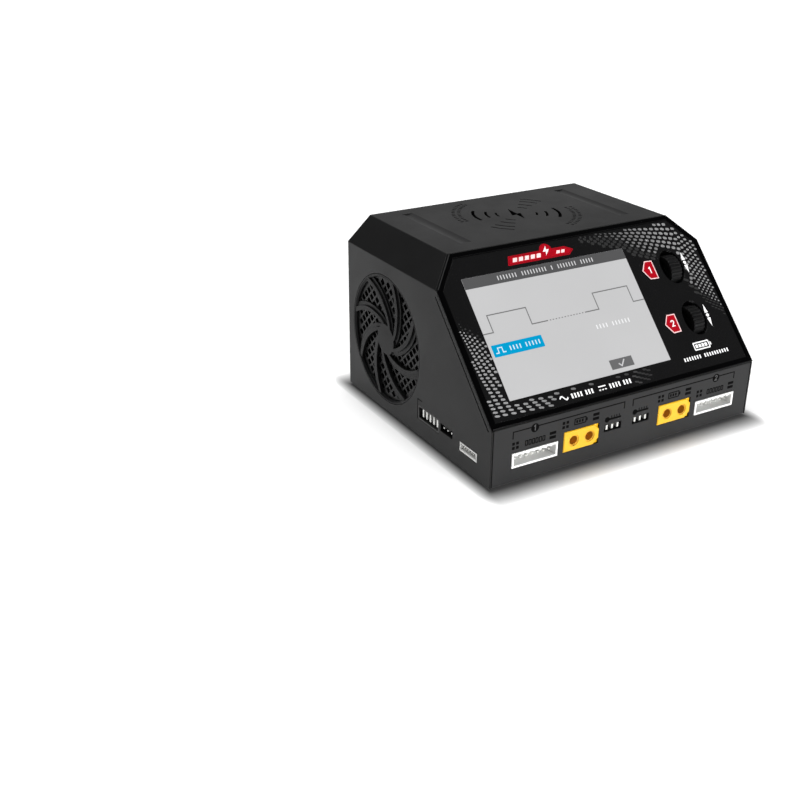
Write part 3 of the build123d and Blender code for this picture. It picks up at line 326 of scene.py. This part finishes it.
INK_WHITE = ink("ink_white", (0.75, 0.75, 0.75))
INK_RED = ink("ink_red", (0.29, 0.003, 0.009), glow=0.0, spec=0.02)
INK_PALE = ink("ink_pale", (0.80, 0.55, 0.55))
INK_BLACK = ink("ink_black", (0.0012, 0.0012, 0.0012), rough=0.5, spec=0.02)
INK_GREY = ink("ink_grey", (0.12, 0.12, 0.122))


# ---------------------------------------------------------------- flat shapes, in mm
def area2(ring):
    return sum(ring[i][0] * ring[(i + 1) % len(ring)][1] - ring[(i + 1) % len(ring)][0] * ring[i][1]
               for i in range(len(ring)))


def rect(x0, y0, x1, y1, slant=0.0):
    return [(x0, y0), (x1, y0), (x1 + slant, y1), (x0 + slant, y1)]


def rounded(x0, y0, x1, y1, r, n=5):
    out = []
    for cx, cy, a in ((x1 - r, y0 + r, -90), (x1 - r, y1 - r, 0), (x0 + r, y1 - r, 90), (x0 + r, y0 + r, 180)):
        for k in range(n + 1):
            t = math.radians(a + 90 * k / n)
            out.append((cx + r * math.cos(t), cy + r * math.sin(t)))
    return out


def disc(cx, cy, r, n=28):
    return [(cx + r * math.cos(2 * math.pi * k / n), cy + r * math.sin(2 * math.pi * k / n)) for k in range(n)]


def grow(ring, d):
    """The ring moved outwards by d, for a convex ring with corners."""
    pts = ring if area2(ring) > 0 else ring[::-1]
    out = []
    for i in range(len(pts)):
        p, q, r = Vector(pts[i - 1]), Vector(pts[i]), Vector(pts[(i + 1) % len(pts)])
        a, b = (q - p).normalized(), (r - q).normalized()
        na, nb = Vector((a.y, -a.x)), Vector((b.y, -b.x))
        m = (na + nb)
        m = m / max(m.dot(na), 0.2)
        out.append(tuple(q + m * d))
    return out


def stroke(points, width):
    """The outline of a line of that width through the points."""
    left, right = [], []
    n = len(points)
    for i in range(n):
        q = Vector(points[i])
        a = (q - Vector(points[i - 1])).normalized() if i else None
        b = (Vector(points[i + 1]) - q).normalized() if i < n - 1 else None
        a, b = a or b, b or a
        na, nb = Vector((-a.y, a.x)), Vector((-b.y, b.x))
        m = na + nb
        m = m / max(m.dot(na), 0.35)
        left.append(tuple(q + m * width / 2))
        right.append(tuple(q - m * width / 2))
    return left + right[::-1]


def add_prism(bm, face, ring, low, high):
    ring = ring if area2(ring) > 0 else ring[::-1]
    a = [bm.verts.new(face.mm(u, v, low)) for u, v in ring]
    b = [bm.verts.new(face.mm(u, v, high)) for u, v in ring]
    for i in range(len(ring)):
        j = (i + 1) % len(ring)
        bm.faces.new((a[i], a[j], b[j], b[i]))
    for i, j, k in tessellate_polygon([[Vector((u, v, 0.0)) for u, v in ring]]):
        if area2([ring[i], ring[j], ring[k]]) < 0:
            j, k = k, j
        bm.faces.new((b[i], b[j], b[k]))
        bm.faces.new((a[k], a[j], a[i]))


def add_band(bm, face, outer, inner, low, high):
    """A closed frame between two rings with the same number of points."""
    outer = outer if area2(outer) > 0 else outer[::-1]
    inner = inner if area2(inner) > 0 else inner[::-1]
    o0 = [bm.verts.new(face.mm(u, v, low)) for u, v in outer]
    o1 = [bm.verts.new(face.mm(u, v, high)) for u, v in outer]
    i0 = [bm.verts.new(face.mm(u, v, low)) for u, v in inner]
    i1 = [bm.verts.new(face.mm(u, v, high)) for u, v in inner]
    n = len(outer)
    for k in range(n):
        j = (k + 1) % n
        bm.faces.new((o0[k], o0[j], o1[j], o1[k]))
        bm.faces.new((i0[j], i0[k], i1[k], i1[j]))
        bm.faces.new((o1[k], o1[j], i1[j], i1[k]))
        bm.faces.new((o0[j], o0[k], i0[k], i0[j]))


def piece(name, bm, mat, body="housing"):
    bmesh.ops.recalc_face_normals(bm, faces=bm.faces)
    bmesh.ops.scale(bm, vec=(MM, MM, MM), verts=bm.verts)
    mesh = bpy.data.meshes.new(name)
    bm.to_mesh(mesh)
    bm.free()
    mesh.materials.append(mat)
    obj = bpy.data.objects.new(name, mesh)
    bpy.context.scene.collection.objects.link(obj)
    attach(obj, body)
    return obj


def print_on(name, face, rings, top, mat, bands=(), lift=0.03):
    """A printed mark: closed prisms standing lift proud of a surface at height top."""
    bm = bmesh.new()
    for r in rings:
        add_prism(bm, face, r, top - 0.03, top + lift)
    for o, i in bands:
        add_band(bm, face, o, i, top - 0.03, top + lift)
    return piece(name, bm, mat)


def moved(ring, dx, dy, k=1.0):
    return [(x * k + dx, y * k + dy) for x, y in ring]


ONE = [stroke([(-0.55, 0.75), (0.12, 1.25), (0.12, -1.35)], 0.5)]
TWO = [stroke([(-0.75, 0.7), (-0.45, 1.15), (0.1, 1.25), (0.6, 1.0), (0.7, 0.5), (0.3, -0.05), (-0.62, -1.1),
               (0.85, -1.1)], 0.46)]

# ---------------------------------------------------------------- display picture
win_low, win_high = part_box("display_window")
X0, X1 = win_low.x / MM, win_high.x / MM
S0, S1 = 8.8, 56.4


def skeleton(x0, x1, y, h, words, gap=0.9, w=0.26):
    """A line of plain upright ticks where a line of text would be: words gives how many ticks each word has."""
    step = ((x1 - x0) - gap * (len(words) - 1)) / sum(words)
    out, x = [], x0
    for count in words:
        for k in range(count):
            out.append(rect(x + step * (k + 0.5) - w / 2, y - h / 2, x + step * (k + 0.5) + w / 2, y + h / 2))
        x += step * count + gap
    return out


print_on("screen_header", SLOPE, [rect(X0 + 0.02, 52.1, X1 - 0.02, S1 - 0.02)], SHEET,
         lit("lit_header", (0.092, 0.092, 0.094), 0.70), lift=0.012)
print_on("screen_header_marks", SLOPE, skeleton(-36.0, 8.6, 54.25, 1.7, [7, 9, 1, 7, 5], 1.7, 0.42), SHEET + 0.012,
         lit("lit_header_marks", (0.62, 0.62, 0.63), 0.8), lift=0.012)

LINE = 0.42
wave = [(X0 + 0.05, 34.4), (-46.0, 34.4), (-46.0, 41.1), (-29.1, 41.1), (-29.1, 34.4), (-22.0, 34.4)]
wave2 = [(-5.0, 34.4), (1.6, 34.4), (1.6, 41.1), (18.3, 41.1), (18.3, 34.4), (X1 - 0.05, 34.4)]
dots = [rect(-21.2 + 1.35 * k, 34.22, -20.6 + 1.35 * k, 34.58) for k in range(12)]
print_on("screen_waveform", SLOPE, [stroke(wave, LINE), stroke(wave2, LINE)] + dots, SHEET,
         lit("lit_waveform", (0.16, 0.16, 0.162), 0.8), lift=0.012)
print_on("screen_value_box", SLOPE, [rounded(-49.2, 25.2, -27.4, 29.8, 0.3, 3)], SHEET,
         lit("lit_blue", (0.0, 0.36, 0.66), 0.62), lift=0.012)
pulse = [stroke([(-48.2, 26.6), (-46.9, 26.6), (-46.9, 28.5), (-45.1, 28.5), (-45.1, 26.6), (-43.8, 26.6)], 0.4)]
print_on("screen_value_marks", SLOPE,
         pulse + skeleton(-42.4, -28.4, 27.5, 1.7, [4, 5], 1.2, 0.5), SHEET + 0.012,
         lit("lit_white", (0.6, 0.75, 0.84), 0.8), lift=0.012)
print_on("screen_reading_marks", SLOPE, skeleton(-3.2, 13.4, 27.8, 1.7, [4, 6], 1.5, 0.5), SHEET,
         lit("lit_faint", (0.80, 0.80, 0.81), 0.78), lift=0.012)
print_on("screen_button", SLOPE, [rect(-3.7, 10.4, 6.8, 14.2)], SHEET,
         lit("lit_button", (0.13, 0.13, 0.132), 0.8), lift=0.012)
print_on("screen_button_mark", SLOPE, [stroke([(0.1, 12.3), (1.2, 11.2), (3.1, 13.5)], 0.5)], SHEET + 0.012,
         lit("lit_tick", (0.55, 0.55, 0.56), 0.8), lift=0.012)

# ---------------------------------------------------------------- fascia print
CHAMFER = Vector((12.87, 10.1)).normalized()


def inside(x, s, m):
    """Whether a place on the fascia is at least m inside its outline."""
    c = CHAMFER.x * (abs(x) - 51.4) + CHAMFER.y * (s - 67.0)
    return abs(x) < HALF - m and m < s < 67.0 - m and c < -m


def clear(x, s, m):
    """Whether it is clear of the display and the wheel recesses."""
    if X0 - m < x < X1 + m and S0 - m < s < S1 + m:
        return False
    return all(((x - wx) / (5.45 + m)) ** 2 + ((s - ws) / (7.35 + m)) ** 2 > 1
               for wx, ws in ((43.3, 44.9), (43.1, 22.6)))


def lozenge(x, s, w, h, turn):
    c, k = math.cos(turn), math.sin(turn)
    out = []
    for i in range(10):
        t = 2 * math.pi * i / 10 + 0.3
        a = math.copysign(abs(math.cos(t)) ** 0.7, math.cos(t)) * w / 2
        b = math.copysign(abs(math.sin(t)) ** 0.7, math.sin(t)) * h / 2
        out.append((x + a * c - b * k, s + a * k + b * c))
    return out


def along(points, x):
    """Height of a polyline at x."""
    for (xa, ya), (xb, yb) in zip(points, points[1:]):
        if xa <= x <= xb:
            return ya + (yb - ya) * (x - xa) / (xb - xa)
    return None


def cross(p, q, r, t):
    """Where line p-q meets line r-t."""
    p, q, r, t = Vector(p), Vector(q), Vector(r), Vector(t)
    d, e = q - p, t - r
    k = (r - p).x * e.y - (r - p).y * e.x
    return p + d * (k / (d.x * e.y - d.y * e.x))


def weave(col, row, cols, rows, scale):
    """Places of a woven lattice: columns and rows that each draw together with distance.
    col and row are (vanishing place, reference place, rate); returns x, s, column pitch, row pitch."""
    (xv, sr, kx), (sv, xr, ks) = col, row

    def solve(x0, s0):
        x, s = x0, s0
        for _ in range(12):
            s = sv - (sv - s0) * math.exp(-ks * abs(xr - x))
            x = xv - (xv - x0) * math.exp(-kx * abs(sr - s))
        return x, s

    for x0 in cols:
        for s0 in rows:
            x, s = solve(x0, s0)
            x1, s1 = solve(x0 + scale[0], s0)
            x2, s2 = solve(x0, s0 + scale[1])
            yield x, s, math.hypot(x1 - x, s1 - s), math.hypot(x2 - x, s2 - s)


edge_line = [(5, 67), (10, 65.4), (14, 63.6), (22, 60.5), (26, 58.5), (30, 56), (33, 54), (36, 52.5), (41, 50.5),
             (46, 43), (48, 38), (52, 32), (56, 28), (60, 23)]
upper, upper_fade = [], []
for x, s, wide, tall in weave((66.5, 63.0, 0.022), (68.9, 51.0, 0.0218),
                              [50.8 - 2.5 * j for j in range(-5, 24)], [62.7 - 2.25 * i for i in range(-2, 24)],
                              (-2.5, -2.25)):
    low = along(edge_line, x)
    if low is None or s < low - 4.5:
        continue
    solid = min(1.0, (s - low) / 7.0)
    w, h = wide * (0.50 + 0.20 * max(solid, 0)), tall * (0.38 + 0.08 * max(solid, 0))
    if not inside(x, s, 2.35 + w / 2) or not clear(x, s, w / 2 + 0.1):
        continue
    if math.hypot(x - 32.0, s - 45.3) < 5.2 or math.hypot(x - 31.5, s - 22.2) < 5.2:
        continue
    if solid > 0:
        upper.append(lozenge(x, s, w, h, -0.30))
    else:
        upper_fade.append(lozenge(x, s, wide * 0.42, tall * 0.8, 1.15))
print_on("weave_print_upper", SLOPE, upper, SHEET,
         ink("ink_weave_upper", (0.20, 0.20, 0.202), fade=(SLOPE.at(48, 55), SLOPE.at(24, 42), (0.03, 0.03, 0.03)),
             rough=0.3), lift=0.02)
print_on("weave_print_fade", SLOPE, upper_fade, SHEET, ink("ink_weave_fade", (0.018, 0.018, 0.0182), rough=0.3),
         lift=0.02)

lower, lower_fade = [], []
for x, s, wide, tall in weave((-63.2, 3.0, 0.032), (0.6, -57.0, 0.0155),
                              [-60.4, -57.0] + [-53.7 + 3.6 * j + 0.05 * j * j for j in range(0, 22)],
                              [3.2 + 1.5 * i - 0.004 * i * i for i in range(-1, 30)], (3.5, 1.5)):
    if s < 1 or x > 12 or s > 42:
        continue
    if x < -50:
        solid = (41.0 - 0.95 * (x + 60) - s) / 12.0
    else:
        solid = (10.0 - x) / 40.0
    if solid < -0.12:
        continue
    fade = min(1.0, max(0.0, solid))
    w, h = wide * (0.48 + 0.14 * fade), tall * (0.40 + 0.13 * fade)
    if not inside(x, s, 2.3 + w / 2) or not clear(x, s, w / 2 + 0.1):
        continue
    if -31.8 < x < 3.2 and 2.6 < s < 7.2:
        continue
    (lower if solid > 0.08 else lower_fade).append(lozenge(x, s, w, h, -0.17))
print_on("weave_print_lower", SLOPE, lower, SHEET,
         ink("ink_weave_lower", (0.22, 0.22, 0.222), fade=(SLOPE.at(-50, 8), SLOPE.at(-6, 20), (0.03, 0.03, 0.03)),
             rough=0.3), lift=0.02)
print_on("weave_print_lower_fade", SLOPE, lower_fade, SHEET, bpy.data.materials["ink_weave_fade"],
         lift=0.02)

# emblem over the display: a slanted red bar, a disc and a bolt
band = [(-28.4, 58.5), (-1.0, 58.5), (0.8, 59.9), (-2.0, 61.3), (-27.4, 61.3)]
print_on("emblem_bar", SLOPE, [band], SHEET, INK_RED, bands=[(grow(band, 0.45), grow(band, 0.12))])
print_on("emblem_disc", SLOPE, [disc(-10.6, 61.3, 2.5)], SHEET + 0.03, INK_RED,
         bands=[(disc(-10.6, 61.3, 2.85), disc(-10.6, 61.3, 2.55))])
bolt = [(-10.1, 63.2), (-12.1, 61.0), (-10.8, 61.0), (-11.2, 59.4), (-9.1, 61.7), (-10.4, 61.7)]
print_on("emblem_bolt", SLOPE, [bolt], SHEET + 0.06, INK_WHITE, lift=0.02)
slits = [rect(x, 59.1, x + 1.9, 60.7, 0.7) for x in (-26.6, -23.9, -21.2, -18.5, -15.8)]
slits += [rect(x, 59.3, x + 1.6, 60.5, 0.6) for x in (-6.6, -4.4)]
print_on("emblem_marks", SLOPE, slits, SHEET + 0.03, INK_PALE, lift=0.015)

# channel badges, with generic channel numbers
for k, badge, digit, at in (
        (1, [(28.9, 45.5), (31.3, 49.0), (34.5, 48.8), (34.5, 41.7), (31.0, 41.9)], ONE, (32.3, 45.3)),
        (2, [(28.4, 22.4), (30.7, 25.8), (34.1, 25.7), (34.0, 18.8), (30.6, 18.7)], TWO, (31.8, 22.3))):
    print_on("channel_badge_%d" % k, SLOPE, [badge], SHEET, INK_RED,
             bands=[(grow(badge, 0.32), grow(badge, -0.12))])
    for o in (bpy.data.objects["channel_badge_%d" % k],):
        o.data.materials.append(INK_PALE)
        n_cap = len(o.data.polygons)
        # the frame's faces are the last 4 per side of the badge
        for p in o.data.polygons[n_cap - 4 * len(badge):]:
            p.material_index = 1
    print_on("channel_number_%d" % k, SLOPE, [moved(r, *at, 0.95) for r in digit], SHEET + 0.03, INK_WHITE,
             lift=0.02)


def spike(x, low, high, w):
    return [(x, low), (x + w / 2, low + (high - low) * 0.06), (x + w / 2, (low + high) / 2), (x, high),
            (x - w / 2, (low + high) / 2), (x - w / 2, low + (high - low) * 0.06)]


def arrow_up(x, low, high, w):
    return [(x - w / 2, low), (x + w / 2, low), (x, high)]


marks = []
for x, c, reach in ((50.3, 45.6, 4.6), (49.8, 22.4, 4.8)):
    marks += [arrow_up(x, c + 1.1, c + reach, 1.7), [(x - 0.85, c - 1.1), (x, c - reach), (x + 0.85, c - 1.1)],
              disc(x, c, 0.72, 18)]
print_on("wheel_marks", SLOPE, marks, SHEET, INK_WHITE)

# battery sign with its level bars, in place of the model text
cell = rounded(36.6, 9.6, 44.6, 12.9, 0.5)
cell_in = rounded(37.1, 10.1, 44.1, 12.4, 0.25)
level = [rect(37.6 + 1.55 * k, 10.55, 38.75 + 1.55 * k, 11.95) for k in range(4)]
print_on("battery_sign", SLOPE, level + [rect(44.85, 10.6, 45.5, 11.9)], SHEET, INK_WHITE,
         bands=[(cell, cell_in)])
print_on("underline_marks", SLOPE, skeleton(29.3, 52.4, 7.1, 1.45, [7, 10], 1.3, 0.62), SHEET,
         INK_WHITE)

# input signs: alternating and direct current
tilde = [(-30.4 + 0.3 * k, 4.9 + 0.75 * math.sin(2 * math.pi * k / 12)) for k in range(13)]
direct = [rect(-12.9, 5.4, -9.5, 5.85), rect(-12.9, 4.1, -12.1, 4.55), rect(-11.6, 4.1, -10.8, 4.55),
          rect(-10.3, 4.1, -9.5, 4.55)]
print_on("input_signs", SLOPE,
         [stroke(tilde, 0.5)] + skeleton(-25.6, -15.2, 4.9, 1.8, [4, 3], 0.9, 0.7) + direct
         + skeleton(-8.2, 2.4, 4.9, 1.8, [4, 3], 0.9, 0.7), SHEET, INK_WHITE)

# ---------------------------------------------------------------- marks on the socket panel
BL = 0.42
lines, frames, pale = [], [], []


def bracket(x0, x1, cx, z=20.1, drop=2.7):
    lines.append(stroke([(x0, z - drop), (x0, z), (cx - 1.6, z)], BL))
    lines.append(stroke([(cx + 1.6, z), (x1, z), (x1, z - drop)], BL))
    lines.append(disc(cx, z - 0.5, 1.7, 30))


bracket(-52.4, -2.6, -43.1)
bracket(1.5, 52.3, 42.7)
pale += [moved(r, -43.1, 19.6, 0.8) for r in ONE] + [moved(r, 42.7, 19.6, 0.8) for r in TWO]
for x, z, plus in ((-51.2, 14.6, 1), (-35.0, 14.7, 0), (-29.5, 17.3, 1), (-15.7, 17.4, 0), (15.2, 17.2, 1),
                   (28.8, 17.2, 0), (34.8, 14.8, 1), (51.1, 14.8, 0)):
    # a solid square with its plus or minus left open
    b, g = 1.4, 0.3
    if plus:
        lines += [rect(x + p * g if p > 0 else x - b, z + q * g if q > 0 else z - b,
                       x + b if p > 0 else x - g, z + b if q > 0 else z - g) for p in (1, -1) for q in (1, -1)]
    else:
        lines += [rect(x - b, z + g, x + b, z + b), rect(x - b, z - b, x + b, z - g)]
for x0, x1, z, h in ((-47.2, -38.2, 14.5, 2.2), (38.6, 47.4, 14.6, 2.2)):
    # a row of cells
    n = 6
    w = (x1 - x0) / n
    for k in range(n):
        frames.append((rounded(x0 + k * w + 0.12, z - h / 2, x0 + (k + 1) * w - 0.12, z + h / 2, 0.2, 2),
                       rounded(x0 + k * w + 0.48, z - h / 2 + 0.4, x0 + (k + 1) * w - 0.48, z + h / 2 - 0.4, 0.08, 2)))
for x0, x1, z in ((-25.6, -19.6, 17.4), (18.8, 24.8, 17.4)):
    # a battery
    frames.append((rounded(x0, z - 1.3, x1 - 0.6, z + 1.3, 0.3, 3), rounded(x0 + 0.4, z - 0.9, x1 - 1.0, z + 0.9, 0.15, 3)))
    lines.append(rect(x1 - 0.6, z - 0.6, x1, z + 0.6))
    lines += [rect(x0 + 0.85 + 1.25 * k, z - 0.55, x0 + 1.6 + 1.25 * k, z + 0.55) for k in range(3)]
for cx in (-7.3, 5.8):
    # a thermometer lying on its side
    z = 14.6
    lines += [disc(cx - 3.0, z, 1.1, 20), rect(cx - 2.2, z - 0.38, cx + 3.5, z + 0.38)]
    lines += [rect(cx - 1.2 + 1.2 * k, z + 0.5, cx - 0.8 + 1.2 * k, z + 1.3) for k in range(4)]
print_on("socket_marks", FRONT, lines, 0.0, INK_BLACK, bands=frames)
print_on("socket_numbers", FRONT, pale, 0.03, ink("ink_panel_grey", (0.045, 0.045, 0.046), rough=0.4), lift=0.015)
print_on("side_mark", LEFT, [stroke([(-49.1, 6.6), (-49.1, 14.9), (-45.9, 14.9)], 0.35)], 0.0, INK_BLACK)

# ---------------------------------------------------------------- floor, light and camera
ground = bpy.data.meshes.new("floor")
ground.from_pydata([(-6, -6, 0), (6, -6, 0), (6, 6, 0), (-6, 6, 0)], [], [(0, 1, 2, 3)])
floor = bpy.data.objects.new("floor", ground)
bpy.context.scene.collection.objects.link(floor)
paper = Nodes("pale_floor")
tone = paper.noise(3.0, 2.0)
pale = paper.ramp(tone, [(0.3, (0.88, 0.88, 0.88)), (0.7, (0.9, 0.9, 0.9))])
paper.set(rough=0.9, spec=0.1, glow=0.2)
paper.bsdf.inputs["Emission Color"].default_value = (1, 1, 1, 1)
span = paper.new("ShaderNodeVectorMath", operation="LENGTH")            # paler far from the part, as the camera sees it
paper.link(paper.coord.outputs["Object"], span.inputs[0])
seen = paper.new("ShaderNodeMath", operation="MULTIPLY_ADD")
paper.link(paper.spread(span.outputs["Value"], 0.0, 0.6, 0.25, 0.8), seen.inputs[0])
camera_ray = paper.new("ShaderNodeLightPath").outputs["Is Camera Ray"]
paper.link(camera_ray, seen.inputs[1])
seen.inputs[2].default_value = 0.2
parts = paper.new("ShaderNodeSeparateXYZ")                              # and a painted contact shadow: darker just before its walls, for camera rays only
paper.link(paper.coord.outputs["Object"], parts.inputs[0])
gap = paper.new("ShaderNodeCombineXYZ")
for axis, half, reach in (("X", 0.0615, 0.4), ("Y", 0.0523, 0.2)):
    size = paper.new("ShaderNodeMath", operation="ABSOLUTE")
    paper.link(parts.outputs[axis], size.inputs[0])
    paper.link(paper.spread(size.outputs[0], 0.0, reach, half, half + 0.2), gap.inputs[axis])
near = paper.new("ShaderNodeVectorMath", operation="LENGTH")
paper.link(gap.outputs[0], near.inputs[0])
# painted contact shadow: a ramp from 0.1 at the walls up to plain floor a few millimetres out
shade = paper.ramp(paper.spread(near.outputs["Value"], 0.0, 1.0, 0.0, 0.011),
                   [(q, (g, g, g)) for q, g in ((0.0, 0.1), (0.35, 0.34), (0.6, 0.56), (0.8, 0.76), (1.0, 1.0))])
drop = paper.new("ShaderNodeMix", data_type="FLOAT")
drop.inputs["A"].default_value = 1.0
paper.link(camera_ray, drop.inputs["Factor"])
paper.link(shade, drop.inputs["B"])
painted_shadow_colour = paper.new("ShaderNodeVectorMath", operation="SCALE")
paper.link(pale, painted_shadow_colour.inputs[0])
paper.link(drop.outputs[0], painted_shadow_colour.inputs["Scale"])
paper.link(painted_shadow_colour.outputs["Vector"], paper.bsdf.inputs["Base Color"])
glow = paper.new("ShaderNodeMath", operation="MULTIPLY")
paper.link(seen.outputs[0], glow.inputs[0])
paper.link(drop.outputs[0], glow.inputs[1])
paper.link(glow.outputs[0], paper.bsdf.inputs["Emission Strength"])
ground.materials.append(paper.mat)

world = bpy.data.worlds.new("studio")
world.use_nodes = True
world.node_tree.nodes["Background"].inputs["Color"].default_value = (1, 1, 1, 1)
world.node_tree.nodes["Background"].inputs["Strength"].default_value = 0.16
bpy.context.scene.world = world


def soft_light(name, place, aim, size, power, size_y=None):
    data = bpy.data.lights.new(name, "AREA")
    data.shape = "RECTANGLE"
    data.size, data.size_y = size, size_y or size
    data.energy = power
    o = bpy.data.objects.new(name, data)
    o.location = place
    o.rotation_euler = (Vector(aim) - Vector(place)).to_track_quat("-Z", "Y").to_euler()
    bpy.context.scene.collection.objects.link(o)
    return o


soft_light("key", (-0.1, 0.25, 1.5), (0, 0, 0.03), 1.0, 23.0)
soft_light("back_panel", (0.74, 1.27, 0.62), (0, 0, 0.06), 1.25, 1.3)
soft_light("front_fill", (0.25, -1.1, 0.12), (0, 0, 0.02), 0.6, 16.0, 0.3)

view = bpy.context.scene.view_settings
view.view_transform = "Standard"
view.look = "None"
view.exposure = 0.0

AZ, EL, ROLL = math.radians(-30.166), math.radians(25.495), math.radians(0.285)
FOCAL = 1109.23                                       # px, for an 800 px wide picture
SHIFT = Vector((0.686554, 0.148359, 3.378866)) * 0.123
back = Vector((math.sin(AZ) * math.cos(EL), -math.cos(AZ) * math.cos(EL), math.sin(EL)))
right = (-back).cross(Vector((0, 0, 1))).normalized()
up = right.cross(-back)
c, s = math.cos(ROLL), math.sin(ROLL)
r1 = Vector((c * right.x + s * up.x, c * right.y + s * up.y, c * right.z + s * up.z))
u1 = Vector((c * up.x - s * right.x, c * up.y - s * right.y, c * up.z - s * right.z))
place = -(r1 * SHIFT.x - u1 * SHIFT.y - back * SHIFT.z) + Vector((0, YF, ZB)) * MM
camera = bpy.data.objects.new("camera", bpy.data.cameras.new("camera"))
camera.data.sensor_width = 36.0
camera.data.lens = FOCAL * 36.0 / 800.0
camera.data.clip_start = 0.01
camera.matrix_world = Matrix(((r1.x, u1.x, back.x, place.x), (r1.y, u1.y, back.y, place.y),
                              (r1.z, u1.z, back.z, place.z), (0, 0, 0, 1)))
bpy.context.scene.collection.objects.link(camera)
bpy.context.scene.camera = camera
